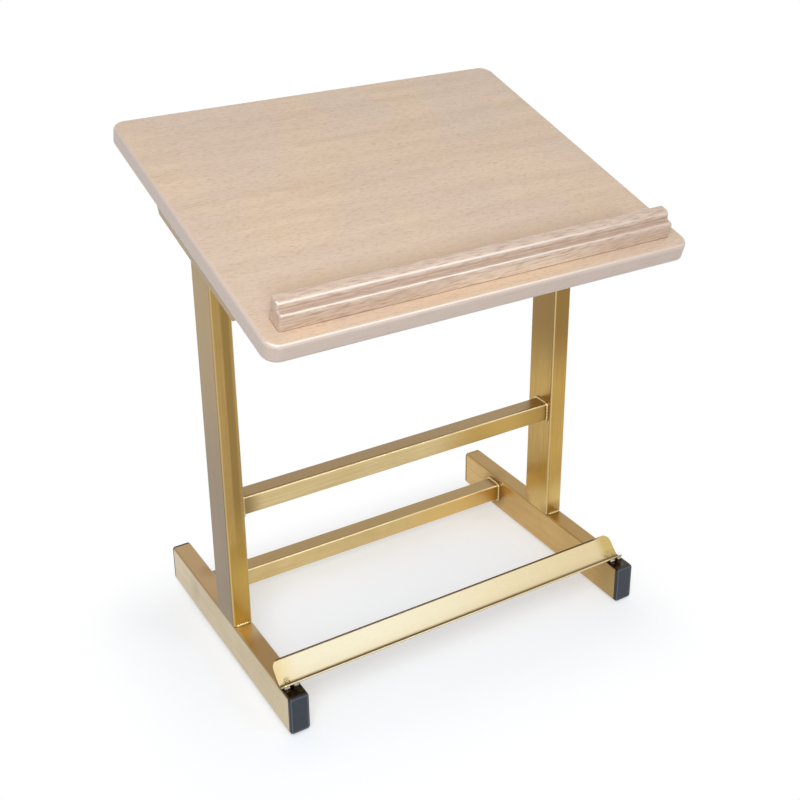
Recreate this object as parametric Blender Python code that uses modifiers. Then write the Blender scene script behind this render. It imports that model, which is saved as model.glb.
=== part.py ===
"""A tabletop lectern: a sloping wooden board with a book ledge, on a welded frame of steel tube.

Metres, +Z up, the reader at -Y. The origin is on the table, under the middle of the outline.
"""

import math

import bmesh
import bpy
from mathutils import Matrix, Vector

# Fit between pieces that touch
GAP = 0.0003

# Reading board
BOARD_WIDTH = 0.430
BOARD_DEPTH = 0.350
BOARD_THICK = 0.018
BOARD_CORNER = 0.011
BOARD_TOP_EDGE = 0.004
BOARD_UNDER_EDGE = 0.003
BOARD_SLOPE = math.radians(17.1)
BOARD_FRONT_HEIGHT = 0.390

# Book ledge, a moulding with one step in its front
LEDGE_LENGTH = 0.398
LEDGE_DEPTH = 0.020
LEDGE_HEIGHT = 0.0232
LEDGE_SETBACK = 0.0153
LEDGE_STEP_HEIGHT = 0.0155
LEDGE_STEP_DEPTH = 0.0076
LEDGE_TOP_NOSE = 0.0058
LEDGE_STEP_NOSE = 0.0035
LEDGE_COVE = 0.0015
LEDGE_BACK_EDGE = 0.002
LEDGE_END_EDGE = 0.0025

# Frame of welded tube
FRAME_WIDTH = 0.400
FRAME_BACK = 0.0015
TUBE_WIDTH = 0.020
TUBE_WALL = 0.0015
TUBE_CORNER = 0.0025
FOOT_LENGTH = 0.276
FOOT_HEIGHT = 0.040
UPRIGHT_DEPTH = 0.040
CROSSBAR_SIZE = 0.020
UPPER_BAR_HEIGHT = 0.160
UPPER_BAR_SET_IN = 0.006
LOWER_BAR_RISE = 0.0124
LOWER_BAR_BEHIND = 0.080

# Book stop, sheet bent to a right angle that lies across the feet on its fold
STRIP_FLANGE = 0.027
STRIP_LIP = 0.012
STRIP_THICK = 0.0015
STRIP_BEND = 0.002
STRIP_LEAN = math.radians(45)
STRIP_AHEAD = 0.123
STRIP_SHORT_OF_RIGHT = 0.0045
STRIP_FLANGE_CORNER = 0.008
STRIP_LIP_CORNER = 0.003

# Brackets of steel angle under the board, ends mitred at 45 degrees
BRACKET_LENGTH = 0.207
BRACKET_LEG = 0.025
BRACKET_THICK = 0.003
BRACKET_AHEAD = 0.005

# Screws
BOARD_SCREW_SPREAD = 0.160
BOARD_SCREW_SHANK = 0.004
BOARD_SCREW_BITE = 0.012
BOARD_SCREW_HEAD = 0.008
BOARD_SCREW_HEAD_HEIGHT = 0.0024
LEDGE_SCREW_PITCH = 0.150
LEDGE_SCREW_SHANK = 0.004
LEDGE_SCREW_BITE = 0.012
LEDGE_SCREW_HEAD = 0.008
LEDGE_SCREW_HEAD_HEIGHT = 0.0024
SCREW_POINT = 0.004

# Plastic end caps, each with a finned plug inside the foot
CAP_FLANGE = 0.003
CAP_EDGE = 0.0012
CAP_PLUG = 0.014
CAP_WALL = 0.0016
CAP_FIN = 0.001
CAP_FIN_THICK = 0.0012
CAP_FIN_COUNT = 3

# Glides stuck under the feet
GLIDE_DIAMETER = 0.012
GLIDE_THICK = 0.0022
GLIDE_EDGE = 0.0005
GLIDE_INSET = 0.0195

# Weld beads
WELD_LEG = 0.0022
TACK_LEG = 0.003
TACK_LENGTH = 0.006
TACK_PITCH = 0.009

# Facets
CORNER_STEPS = 4
BOARD_CORNER_STEPS = 8
TURN_STEPS = 16
GLIDE_SIDES = 24
WELDED = 1e-6

# Places that follow from the sizes above
FOOT_UNDERSIDE = GLIDE_THICK + GAP
FOOT_TOP = FOOT_UNDERSIDE + FOOT_HEIGHT
TUBE_MIDDLE = (FRAME_WIDTH - TUBE_WIDTH) / 2
INNER_FACE = FRAME_WIDTH / 2 - TUBE_WIDTH
BOARD_REACH = BOARD_DEPTH * math.cos(BOARD_SLOPE) - BOARD_THICK * math.sin(BOARD_SLOPE)
BOARD_FRONT = -BOARD_REACH / 2
UPRIGHT_ON_SLOPE = (FRAME_BACK - BOARD_FRONT) / math.cos(BOARD_SLOPE)
BRACKET_MIDDLE = UPRIGHT_ON_SLOPE - BRACKET_AHEAD
BRACKET_OUTER = FRAME_WIDTH / 2 + GAP + BRACKET_THICK
STRIP_LENGTH = FRAME_WIDTH - STRIP_SHORT_OF_RIGHT
BOARD_SCREW_SEAT = Vector((0, 0, -(BRACKET_THICK + 2 * GAP)))
LEDGE_SCREW_SEAT = Vector((0, 0, GAP))
SIDES = {"left": -1, "right": 1}
ENDS = {"front": -1, "rear": 1}


def clear_scene():
    for obj in list(bpy.data.objects):
        bpy.data.objects.remove(obj, do_unlink=True)


def new_collection(name):
    collection = bpy.data.collections.new(name)
    bpy.context.scene.collection.children.link(collection)
    return collection


def new_empty(name, location, slope=0.0):
    empty = bpy.data.objects.new(name, None)
    empty.location = location
    empty.rotation_euler = (slope, 0, 0)
    PARTS.objects.link(empty)
    return empty


def new_finish(name, colour, roughness, metallic=0.0):
    finish = bpy.data.materials.new(name)
    finish.use_nodes = True
    shader = finish.node_tree.nodes["Principled BSDF"]
    shader.inputs["Base Color"].default_value = (*colour, 1)
    shader.inputs["Roughness"].default_value = roughness
    shader.inputs["Metallic"].default_value = metallic
    return finish


def add_part(name, mesh, finish, parent, location=(0, 0, 0), turn=0.0):
    """One sub-part: the mesh, smooth over its rounded edges, at a place in its parent's frame."""
    mesh.shade_smooth()
    mesh.set_sharp_from_angle(angle=math.radians(35))
    if not mesh.materials:
        mesh.materials.append(finish)
    part = bpy.data.objects.new(name, mesh)
    part.parent = parent
    part.location = location
    part.rotation_euler = (0, 0, turn)
    PARTS.objects.link(part)
    return part


def add_cutter(name, mesh, parent, location=(0, 0, 0)):
    cutter = bpy.data.objects.new(name, mesh)
    cutter.parent = parent
    cutter.location = location
    cutter.hide_render = True
    cutter.display_type = "WIRE"
    CUTTERS.objects.link(cutter)
    return cutter


def combine(part, operation, other):
    modifier = part.modifiers.new(f"{operation.lower()} {other.name}", "BOOLEAN")
    modifier.operation = operation
    modifier.solver = "EXACT"
    modifier.object = other


def finished_mesh(obj):
    """The object's mesh with its modifiers applied and its seams closed, the object itself removed."""
    bpy.context.scene.collection.objects.link(obj)
    graph = bpy.context.evaluated_depsgraph_get()
    mesh = bpy.data.meshes.new_from_object(obj.evaluated_get(graph))
    bpy.data.objects.remove(obj, do_unlink=True)
    shape = bmesh.new()
    shape.from_mesh(mesh)
    bmesh.ops.remove_doubles(shape, verts=shape.verts, dist=WELDED)
    shape.to_mesh(mesh)
    shape.free()
    return mesh


def arc(centre, radius, start, end, steps=CORNER_STEPS):
    """Points from one angle to the other, in degrees, both ends included."""
    angles = [math.radians(start + (end - start) * i / steps) for i in range(steps + 1)]
    return [(centre[0] + radius * math.cos(a), centre[1] + radius * math.sin(a)) for a in angles]


def rounded_rectangle(width, height, radius, steps=CORNER_STEPS):
    u = width / 2 - radius
    v = height / 2 - radius
    corners = [((u, v), 0), ((-u, v), 90), ((-u, -v), 180), ((u, -v), 270)]
    return [point for centre, start in corners for point in arc(centre, radius, start, start + 90, steps)]


def flat_curve(outlines):
    curve = bpy.data.curves.new("outline", "CURVE")
    curve.dimensions = "2D"
    for outline in outlines:
        spline = curve.splines.new("POLY")
        spline.points.add(len(outline) - 1)
        spline.use_cyclic_u = True
        for point, (u, v) in zip(spline.points, outline):
            point.co = (u, v, 0, 1)
    return curve


def set_along(mesh, axis):
    """Turns a mesh that was drawn in XY, so that its Z points along the axis."""
    rows = {
        "X": ((0, 0, 1), (1, 0, 0), (0, 1, 0)),
        "Y": ((1, 0, 0), (0, 0, -1), (0, 1, 0)),
        "Z": ((1, 0, 0), (0, 1, 0), (0, 0, 1)),
    }
    mesh.transform(Matrix(rows[axis]).to_4x4())
    return mesh


def prism(outlines, length, axis):
    """A mesh of the outlines, holes included, drawn out along the axis and centred on it.

    An outline's two coordinates are the two other axes, in order.
    """
    curve = flat_curve(outlines)
    curve.fill_mode = "BOTH"
    curve.extrude = length / 2
    mesh = finished_mesh(bpy.data.objects.new("outline", curve))
    if len(outlines) == 1:
        shape = bmesh.new()
        shape.from_mesh(mesh)
        bmesh.ops.dissolve_limit(shape, angle_limit=math.radians(1), verts=shape.verts, edges=shape.edges)
        shape.to_mesh(mesh)
        shape.free()
    return set_along(mesh, axis)


def tube(width, height, length, axis):
    bore = (width - 2 * TUBE_WALL, height - 2 * TUBE_WALL, TUBE_CORNER - TUBE_WALL)
    return prism([rounded_rectangle(width, height, TUBE_CORNER), rounded_rectangle(*bore)], length, axis)


def bevelled(mesh, chosen, width, steps):
    """Rounds over the edges for which the test on both ends' places holds."""
    shape = bmesh.new()
    shape.from_mesh(mesh)
    edges = [edge for edge in shape.edges if all(chosen(vert.co) for vert in edge.verts)]
    bmesh.ops.bevel(shape, geom=edges, offset=width, segments=steps, profile=0.5, affect="EDGES")
    shape.to_mesh(mesh)
    shape.free()
    return mesh


def turned(profile):
    """A solid of revolution about Z from (radius, height) points that run down the outer side."""
    mesh = bpy.data.meshes.new("profile")
    shape = bmesh.new()
    verts = [shape.verts.new((radius, 0, height)) for radius, height in profile]
    for upper, lower in zip(verts, verts[1:]):
        shape.edges.new((upper, lower))
    shape.to_mesh(mesh)
    shape.free()
    obj = bpy.data.objects.new("profile", mesh)
    modifier = obj.modifiers.new("turn", "SCREW")
    modifier.steps = TURN_STEPS
    modifier.render_steps = TURN_STEPS
    modifier.use_merge_vertices = True
    modifier.merge_threshold = WELDED
    return finished_mesh(obj)


def copies(mesh, places):
    """One mesh that holds a separate body at each place."""
    group = bmesh.new()
    for place in places:
        body = mesh.copy()
        body.transform(Matrix.Translation(place))
        group.from_mesh(body)
        bpy.data.meshes.remove(body)
    result = bpy.data.meshes.new("group")
    group.to_mesh(result)
    group.free()
    return result


def bead(leg, start, end, length, axis="X"):
    """A weld bead: a convex sector between two faces that meet at its apex, drawn out along the axis."""
    return prism([[(0, 0)] + arc((0, 0), leg, start, end)], length, axis)


def board_screw_places():
    """Each screw's name and its place on the slope: one near each end of both brackets."""
    across = BRACKET_OUTER - (BRACKET_LEG + BRACKET_THICK) / 2
    places = {}
    for side_name, side in SIDES.items():
        for end_name, end in ENDS.items():
            along = BRACKET_MIDDLE + end * BOARD_SCREW_SPREAD / 2
            places[f"{side_name}_{end_name}_board_screw"] = Vector((side * across, along, 0))
    return places


def ledge_screw_places():
    """Each screw's name and its place on the slope, in a row under the ledge's full height."""
    along = LEDGE_SETBACK + (LEDGE_STEP_DEPTH + LEDGE_DEPTH) / 2
    return {
        "left_ledge_screw": Vector((-LEDGE_SCREW_PITCH, along, 0)),
        "middle_ledge_screw": Vector((0, along, 0)),
        "right_ledge_screw": Vector((LEDGE_SCREW_PITCH, along, 0)),
    }


def board_screw_mesh(extra=0.0):
    """A round-head screw pointing up, its head under z = 0. The hole for it has the extra all round."""
    shank = BOARD_SCREW_SHANK / 2 + extra
    head = BOARD_SCREW_HEAD / 2 + extra
    tip = BRACKET_THICK + 2 * GAP + BOARD_SCREW_BITE + extra
    dome = arc((0, 0), 1, 0, -90)
    profile = [(0, tip), (shank, tip - SCREW_POINT), (shank, extra)]
    profile += [(head * u, extra + (BOARD_SCREW_HEAD_HEIGHT + extra) * v) for u, v in dome]
    return turned(profile)


def ledge_screw_mesh(extra=0.0):
    """A countersunk screw pointing up, its flat head at z = 0. The hole for it has the extra all round."""
    shank = LEDGE_SCREW_SHANK / 2 + extra
    head = LEDGE_SCREW_HEAD / 2 + extra
    tip = BOARD_THICK + GAP + LEDGE_SCREW_BITE + extra
    profile = [(0, tip), (shank, tip - SCREW_POINT), (shank, LEDGE_SCREW_HEAD_HEIGHT), (head, 0)]
    profile += [(head, -extra), (0, -extra)]
    return turned([point for i, point in enumerate(profile) if point not in profile[:i]])


def add_board():
    outline = rounded_rectangle(BOARD_WIDTH, BOARD_DEPTH, BOARD_CORNER, BOARD_CORNER_STEPS)
    mesh = prism([outline], BOARD_THICK, "Z")
    bevelled(mesh, lambda co: co.z > 0, BOARD_TOP_EDGE, CORNER_STEPS)
    bevelled(mesh, lambda co: co.z < WELDED - BOARD_THICK / 2, BOARD_UNDER_EDGE, CORNER_STEPS)
    board = add_part("reading_board", mesh, WOOD, SLOPE, (0, BOARD_DEPTH / 2, BOARD_THICK / 2))
    combine(board, "DIFFERENCE", BOARD_SCREW_HOLES)
    combine(board, "DIFFERENCE", LEDGE_SCREW_HOLES)


def ledge_profile():
    """The moulding's section, front face at 0: a round nose, a coved step and a rounder nose above it."""
    step_front = LEDGE_STEP_DEPTH
    points = [(0, 0)]
    points += arc((LEDGE_STEP_NOSE, LEDGE_STEP_HEIGHT - LEDGE_STEP_NOSE), LEDGE_STEP_NOSE, 180, 90)
    points += arc((step_front - LEDGE_COVE, LEDGE_STEP_HEIGHT + LEDGE_COVE), LEDGE_COVE, 270, 360)
    points += arc((step_front + LEDGE_TOP_NOSE, LEDGE_HEIGHT - LEDGE_TOP_NOSE), LEDGE_TOP_NOSE, 180, 90)
    points += arc((LEDGE_DEPTH - LEDGE_BACK_EDGE, LEDGE_HEIGHT - LEDGE_BACK_EDGE), LEDGE_BACK_EDGE, 90, 0)
    points += [(LEDGE_DEPTH, 0)]
    return points


def add_ledge():
    mesh = prism([ledge_profile()], LEDGE_LENGTH, "X")
    for end in SIDES.values():
        bevelled(mesh, lambda co: co.x * end > LEDGE_LENGTH / 2 - WELDED, LEDGE_END_EDGE, 2)
    ledge = add_part("book_ledge", mesh, WOOD, SLOPE, (0, LEDGE_SETBACK, BOARD_THICK + GAP))
    combine(ledge, "DIFFERENCE", LEDGE_SCREW_HOLES)


def add_screws():
    board_mesh = board_screw_mesh()
    for name, place in board_screw_places().items():
        add_part(name, board_mesh, ZINC, SLOPE, place + BOARD_SCREW_SEAT)
    ledge_mesh = ledge_screw_mesh()
    for name, place in ledge_screw_places().items():
        add_part(name, ledge_mesh, ZINC, SLOPE, place + LEDGE_SCREW_SEAT)


def screw_holes():
    board_holes = copies(board_screw_mesh(GAP), board_screw_places().values())
    ledge_holes = copies(ledge_screw_mesh(GAP), ledge_screw_places().values())
    return (
        add_cutter("board_screw_holes", board_holes, SLOPE, BOARD_SCREW_SEAT),
        add_cutter("ledge_screw_holes", ledge_holes, SLOPE, LEDGE_SCREW_SEAT),
    )


def bracket_section(side):
    """The angle's section, origin at its outer top corner: one leg in under the board, one leg down."""
    points = [(0, 0), (-BRACKET_LEG, 0), (-BRACKET_LEG, -BRACKET_THICK), (-BRACKET_THICK, -BRACKET_THICK)]
    points += [(-BRACKET_THICK, -BRACKET_LEG), (0, -BRACKET_LEG)]
    return [(side * x, z) for x, z in points]


def add_bracket(name, side):
    mesh = prism([bracket_section(side)], BRACKET_LENGTH, "Y")
    for vert in mesh.vertices:
        below_leg = max(0, -vert.co.z - BRACKET_THICK)
        vert.co.y -= math.copysign(below_leg, vert.co.y)
    place = (side * BRACKET_OUTER, BRACKET_MIDDLE, -GAP)
    bracket = add_part(f"{name}_board_bracket", mesh, GOLD, SLOPE, place)
    combine(bracket, "DIFFERENCE", BOARD_SCREW_HOLES)


def upright_top(y):
    """Height of an upright's sloping top, just under the bracket's leg, at a place in the frame's Y."""
    under_board = BOARD_FRONT_HEIGHT + (FRAME_BACK + y - BOARD_FRONT) * math.tan(BOARD_SLOPE)
    return under_board - (BRACKET_THICK + 2 * GAP) / math.cos(BOARD_SLOPE)


def add_upright(name, side):
    mesh = tube(TUBE_WIDTH, UPRIGHT_DEPTH, FOOT_HEIGHT, "Z")
    for vert in mesh.vertices:
        vert.co.z = upright_top(vert.co.y) if vert.co.z > 0 else FOOT_TOP + GAP
    add_part(f"{name}_upright", mesh, GOLD, FRAME, (side * TUBE_MIDDLE, 0, 0))


def add_foot(name, side):
    mesh = tube(TUBE_WIDTH, FOOT_HEIGHT, FOOT_LENGTH, "Y")
    add_part(f"{name}_foot", mesh, GOLD, FRAME, (side * TUBE_MIDDLE, 0, FOOT_UNDERSIDE + FOOT_HEIGHT / 2))


def upper_bar_place():
    front = -UPRIGHT_DEPTH / 2 + UPPER_BAR_SET_IN
    return Vector((0, front + CROSSBAR_SIZE / 2, UPPER_BAR_HEIGHT + CROSSBAR_SIZE / 2))


def lower_bar_place():
    return Vector((0, LOWER_BAR_BEHIND, FOOT_UNDERSIDE + LOWER_BAR_RISE + CROSSBAR_SIZE / 2))


def crossbar_weld(side):
    """A bead run round a crossbar's end, against the inner face of what the bar meets."""
    round_bar = CROSSBAR_SIZE + 2 * GAP
    path = flat_curve([rounded_rectangle(round_bar, round_bar, TUBE_CORNER + GAP)])
    start = 270 if side > 0 else 180
    section = [(0, 0)] + arc((0, 0), WELD_LEG, start, start - 90)
    path.bevel_mode = "OBJECT"
    path.bevel_object = bpy.data.objects.new("section", flat_curve([section]))
    bpy.context.scene.collection.objects.link(path.bevel_object)
    mesh = finished_mesh(bpy.data.objects.new("path", path))
    bpy.data.objects.remove(path.bevel_object, do_unlink=True)
    return set_along(mesh, "X")


def add_crossbar(name, place):
    length = 2 * (INNER_FACE - GAP)
    add_part(f"{name}_crossbar", tube(CROSSBAR_SIZE, CROSSBAR_SIZE, length, "X"), GOLD, FRAME, place)
    for side_name, side in SIDES.items():
        beside = Vector((side * (INNER_FACE - GAP), 0, 0))
        add_part(f"{name}_crossbar_{side_name}_weld", crossbar_weld(side), GOLD, FRAME, place + beside)


def strip_section():
    """The bent sheet's section, origin where its outer faces would meet if the fold were sharp."""
    flange = Vector((math.cos(STRIP_LEAN), math.sin(STRIP_LEAN)))
    lip = Vector((-math.sin(STRIP_LEAN), math.cos(STRIP_LEAN)))
    outer = STRIP_BEND + STRIP_THICK
    centre = outer * (flange + lip)
    lean = math.degrees(STRIP_LEAN)
    points = [STRIP_FLANGE * flange]
    points += arc(centre, outer, lean - 90, lean - 180)
    points += [STRIP_LIP * lip, STRIP_LIP * lip + STRIP_THICK * flange]
    points += arc(centre, STRIP_BEND, lean - 180, lean - 90)
    points += [STRIP_FLANGE * flange + STRIP_THICK * lip]
    return [tuple(point) for point in points]


def strip_place():
    outer = STRIP_BEND + STRIP_THICK
    fold_above_corner = outer * (math.sin(STRIP_LEAN) + math.cos(STRIP_LEAN) - 1)
    return Vector((-STRIP_SHORT_OF_RIGHT / 2, -STRIP_AHEAD, FOOT_TOP + GAP - fold_above_corner))


def add_strip():
    mesh = prism([strip_section()], STRIP_LENGTH, "X")
    flange = Vector((0, math.cos(STRIP_LEAN), math.sin(STRIP_LEAN)))
    lip = Vector((0, -math.sin(STRIP_LEAN), math.cos(STRIP_LEAN)))
    legs = ((flange, STRIP_FLANGE, STRIP_FLANGE_CORNER), (lip, STRIP_LIP, STRIP_LIP_CORNER))
    for end in SIDES.values():
        for leg, length, corner in legs:

            def at_corner(co):
                return co.x * end > STRIP_LENGTH / 2 - WELDED and co.dot(leg) > length - WELDED

            bevelled(mesh, at_corner, corner, CORNER_STEPS)
    add_part("book_stop_strip", mesh, GOLD, FRAME, strip_place())


def add_strip_tacks():
    """Two tacks on each foot, in the wedge between the foot's top and the strip's lip."""
    mesh = bead(TACK_LEG, 180, 90 + math.degrees(STRIP_LEAN), TACK_LENGTH)
    corner = strip_place()
    above = FOOT_TOP + GAP - corner.z
    ahead = (above * math.sin(STRIP_LEAN) + GAP) / math.cos(STRIP_LEAN)
    apex = Vector((0, corner.y - ahead, FOOT_TOP + GAP))
    for side_name, side in SIDES.items():
        for where, shift in (("inner", -TACK_PITCH / 2), ("outer", TACK_PITCH / 2)):
            across = Vector((side * (TUBE_MIDDLE + shift), 0, 0))
            add_part(f"{side_name}_strip_{where}_tack", mesh, GOLD, FRAME, apex + across)


def add_upright_welds():
    """A bead across the front and the back of each upright's lower end; the sides are ground flush."""
    length = TUBE_WIDTH - 2 * TUBE_CORNER
    meshes = {"front": bead(WELD_LEG, 90, 180, length), "rear": bead(WELD_LEG, 0, 90, length)}
    for side_name, side in SIDES.items():
        for end_name, end in ENDS.items():
            place = (side * TUBE_MIDDLE, end * (UPRIGHT_DEPTH / 2 + GAP), FOOT_TOP + GAP)
            add_part(f"{side_name}_upright_{end_name}_weld", meshes[end_name], GOLD, FRAME, place)


def add_bracket_weld(name, side):
    """A bead along the bracket's lower edge, on the outer face of its upright."""
    drop = BRACKET_LEG + 2 * GAP
    length = UPRIGHT_DEPTH / math.cos(BOARD_SLOPE) - 4 * TUBE_CORNER
    middle = UPRIGHT_ON_SLOPE - drop * math.tan(BOARD_SLOPE)
    mesh = bead(WELD_LEG, 270, 270 + 90 * side, length, "Y")
    place = (side * (FRAME_WIDTH / 2 + GAP), middle, -drop)
    add_part(f"{name}_bracket_weld", mesh, GOLD, SLOPE, place)


def cap_mesh():
    """An end cap facing -Y: a flange over the tube's end and a hollow plug with fins that grip its bore."""
    bore = Vector((TUBE_WIDTH - 2 * TUBE_WALL, FOOT_HEIGHT - 2 * TUBE_WALL))
    corner = TUBE_CORNER - TUBE_WALL

    def section(inset):
        return rounded_rectangle(bore.x - 2 * inset, bore.y - 2 * inset, corner)

    flange = prism([rounded_rectangle(TUBE_WIDTH, FOOT_HEIGHT, TUBE_CORNER)], CAP_FLANGE, "Y")
    bevelled(flange, lambda co: co.y < 0, CAP_EDGE, 2)
    cap = bpy.data.objects.new("cap", flange)
    into_flange = CAP_FLANGE / 2
    body_inset = GAP + CAP_FIN
    plug_walls = [section(body_inset), section(body_inset + CAP_WALL)]
    pieces = [(prism(plug_walls, CAP_PLUG + into_flange, "Y"), CAP_PLUG / 2)]
    pitch = CAP_PLUG / CAP_FIN_COUNT
    for i in range(CAP_FIN_COUNT):
        fin = prism([section(GAP), section(body_inset + CAP_WALL / 2)], CAP_FIN_THICK, "Y")
        pieces.append((fin, CAP_FLANGE / 2 + (i + 0.5) * pitch))
    helpers = [add_cutter(f"cap_piece_{i}", mesh, None, (0, y, 0)) for i, (mesh, y) in enumerate(pieces)]
    for helper in helpers:
        combine(cap, "UNION", helper)
    mesh = finished_mesh(cap)
    for helper in helpers:
        bpy.data.objects.remove(helper, do_unlink=True)
    return mesh


def add_caps():
    mesh = cap_mesh()
    out = FOOT_LENGTH / 2 + GAP + CAP_FLANGE / 2
    height = FOOT_UNDERSIDE + FOOT_HEIGHT / 2
    for side_name, side in SIDES.items():
        for end_name, end in ENDS.items():
            place = (side * TUBE_MIDDLE, end * out, height)
            turn = 0 if end < 0 else math.pi
            add_part(f"{side_name}_{end_name}_cap", mesh, PLASTIC, FRAME, place, turn)


def add_glides():
    shape = bmesh.new()
    radius = GLIDE_DIAMETER / 2
    bmesh.ops.create_cone(
        shape, cap_ends=True, segments=GLIDE_SIDES, radius1=radius, radius2=radius, depth=GLIDE_THICK
    )
    mesh = bpy.data.meshes.new("glide")
    shape.to_mesh(mesh)
    shape.free()
    bevelled(mesh, lambda co: co.z < 0, GLIDE_EDGE, 2)
    out = FOOT_LENGTH / 2 - GLIDE_INSET
    for side_name, side in SIDES.items():
        for end_name, end in ENDS.items():
            place = (side * TUBE_MIDDLE, end * out, GLIDE_THICK / 2)
            add_part(f"{side_name}_{end_name}_glide", mesh, RUBBER, FRAME, place)


clear_scene()
PARTS = new_collection("tabletop_lectern")
CUTTERS = new_collection("cutters")
FRAME = new_empty("frame", (0, FRAME_BACK, 0))
SLOPE = new_empty("slope", (0, BOARD_FRONT, BOARD_FRONT_HEIGHT), BOARD_SLOPE)
WOOD = new_finish("limed_wood", (0.63, 0.47, 0.36), 0.45)
GOLD = new_finish("gold_paint", (0.43, 0.28, 0.09), 0.35, 0.8)
PLASTIC = new_finish("black_plastic", (0.02, 0.022, 0.027), 0.45)
RUBBER = new_finish("black_rubber", (0.015, 0.015, 0.015), 0.8)
ZINC = new_finish("zinc_plate", (0.6, 0.6, 0.58), 0.35, 1.0)

BOARD_SCREW_HOLES, LEDGE_SCREW_HOLES = screw_holes()
add_board()
add_ledge()
add_screws()
for side_name, side in SIDES.items():
    add_bracket(side_name, side)
    add_bracket_weld(side_name, side)
    add_upright(side_name, side)
    add_foot(side_name, side)
add_crossbar("upper", upper_bar_place())
add_crossbar("lower", lower_bar_place())
add_strip()
add_strip_tacks()
add_upright_welds()
add_caps()
add_glides()
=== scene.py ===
import math
from functools import partial

import bmesh
import bpy
from mathutils import Matrix, Vector


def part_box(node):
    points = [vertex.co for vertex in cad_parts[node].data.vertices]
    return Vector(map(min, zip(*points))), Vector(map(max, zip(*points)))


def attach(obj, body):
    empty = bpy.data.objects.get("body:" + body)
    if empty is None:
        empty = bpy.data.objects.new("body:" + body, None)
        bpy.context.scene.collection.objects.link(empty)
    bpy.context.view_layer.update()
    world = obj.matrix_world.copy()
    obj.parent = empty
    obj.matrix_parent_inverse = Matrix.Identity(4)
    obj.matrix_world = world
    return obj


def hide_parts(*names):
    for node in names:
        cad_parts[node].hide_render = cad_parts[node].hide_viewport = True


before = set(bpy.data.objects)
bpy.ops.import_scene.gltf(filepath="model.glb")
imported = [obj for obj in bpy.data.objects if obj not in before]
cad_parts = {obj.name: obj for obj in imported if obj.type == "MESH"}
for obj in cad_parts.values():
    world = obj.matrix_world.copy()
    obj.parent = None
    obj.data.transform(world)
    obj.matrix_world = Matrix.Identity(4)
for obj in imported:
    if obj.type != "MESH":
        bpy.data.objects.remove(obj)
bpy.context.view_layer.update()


# Feet
# Two lengths of 40 x 20 mm steel tube set on edge, running front to back under the uprights.
# The tube is cold-rolled with rounded corners and sawn square. It is linished from end to end,
# so that fine lines run along it, and sprayed with a clear gold lacquer after welding.

MM = 0.001
TUBE_CORNER = 2.5 * MM
TUBE_WALL = 1.5 * MM
CORNER_STEPS = 5
FLAT = 1e-5
SQUARE = 0.99
END_TURN = 0.9
RIGHT = Vector((1, 0, 0))
BACK = Vector((0, 1, 0))
UP = Vector((0, 0, 1))

# The left and right tones are one lacquer set apart as painted reflection and shade.
FOOT_TONES = {"left": ("#b9a274", "#cebb92"), "right": ("#be9858", "#d6b26e")}
# Painted shade: the tops are darker than the sides, and on the left foot lighter towards the back,
# behind the strip's shadow.
FOOT_TOPS = {"left": "#967848", "right": "#a8864a"}
FOOT_TOP_BACK = "#ad8d5f"
# Painted light: the left foot's top is paler in front of the upright.
FOOT_BY_UPRIGHT = "#c4b28a"
# Painted shadow of the strip: the right foot is darker towards its front end.
FOOT_FRONT_END = "#af9054"
# Painted shade: the feet's rounded edges are darker.
FOOT_EDGE = "#7d6232"
FOOT_EDGE_SHARE = 0.55
# Painted shade: darker near the welds, where the parts meet.
WELD_SHADE = "#8a6833"
# Painted shadow: near black on the front of each foot's top, under the strip's lip.
LIP_SHADOW = "#33240f"

# A span is where a tone starts and where it is full, and then the share that it reaches there.
# A turn is the same by how squarely a face looks one way, from 0 to 1.
TOP_BACK_SPAN = (-20 * MM, 60 * MM)
FRONT_END_SPAN = (-90 * MM, -125 * MM)
BY_UPRIGHT_SPAN = (34 * MM, 8 * MM, 0.7)
BAR_WELD_SPAN = (26 * MM, 13 * MM, 0.65)
LIP_SHADOW_SPAN = (-108 * MM, -119 * MM)
LIP_SHADOW_DEEP = 2.5 * MM
LIP_SHADOW_FULL = 0.5 * MM
LIP_SHADOW_RAGGED = 4 * MM
EDGE_TURN = (0.97, 0.80)

# A ramp is the two values of a pattern that it runs between, and then what it gives at each.
LINISH_RAMP = (0.3, 0.7, 0.3, 1.0)
CLOUD_RAMP = (0.4, 0.7, 0.0, 0.6)
GOLD_GLEAM = (0.3, 0.7, 0.36, 0.28)
LIP_SHADOW_RAMP = (0.35, 0.55, 0.75, 1.0)
LINISH_WIDTH = 1.1 * MM
LINISH_LENGTH = 70 * MM
LINISH_DEEP = 0.05 * MM
LACQUER_CLOUD = 45 * MM


def linear(colour):
    """An sRGB hex colour as the linear RGBA that a shader works in."""
    parts = [int(colour[i : i + 2], 16) / 255 for i in (1, 3, 5)]
    return [p / 12.92 if p <= 0.04045 else ((p + 0.055) / 1.055) ** 2.4 for p in parts] + [1.0]


def plug_in(node, inputs):
    """Sets a node's inputs, by name or in order: each is a value or another node's output."""
    in_order = [socket for socket in node.inputs if socket.enabled]
    for name, value in inputs.items() if isinstance(inputs, dict) else enumerate(inputs):
        socket = in_order[name] if isinstance(name, int) else node.inputs[name]
        if isinstance(value, bpy.types.NodeSocket):
            node.id_data.links.new(value, socket)
        else:
            socket.default_value = value


def add_node(tree, kind, inputs=(), out=None, **settings):
    """Adds a shader node with its settings and inputs, and gives the named output or the first."""
    made = tree.nodes.new("ShaderNode" + kind)
    for name, value in settings.items():
        setattr(made, name, value)
    plug_in(made, inputs)
    return made.outputs[out] if out else next(socket for socket in made.outputs if socket.enabled)


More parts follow.
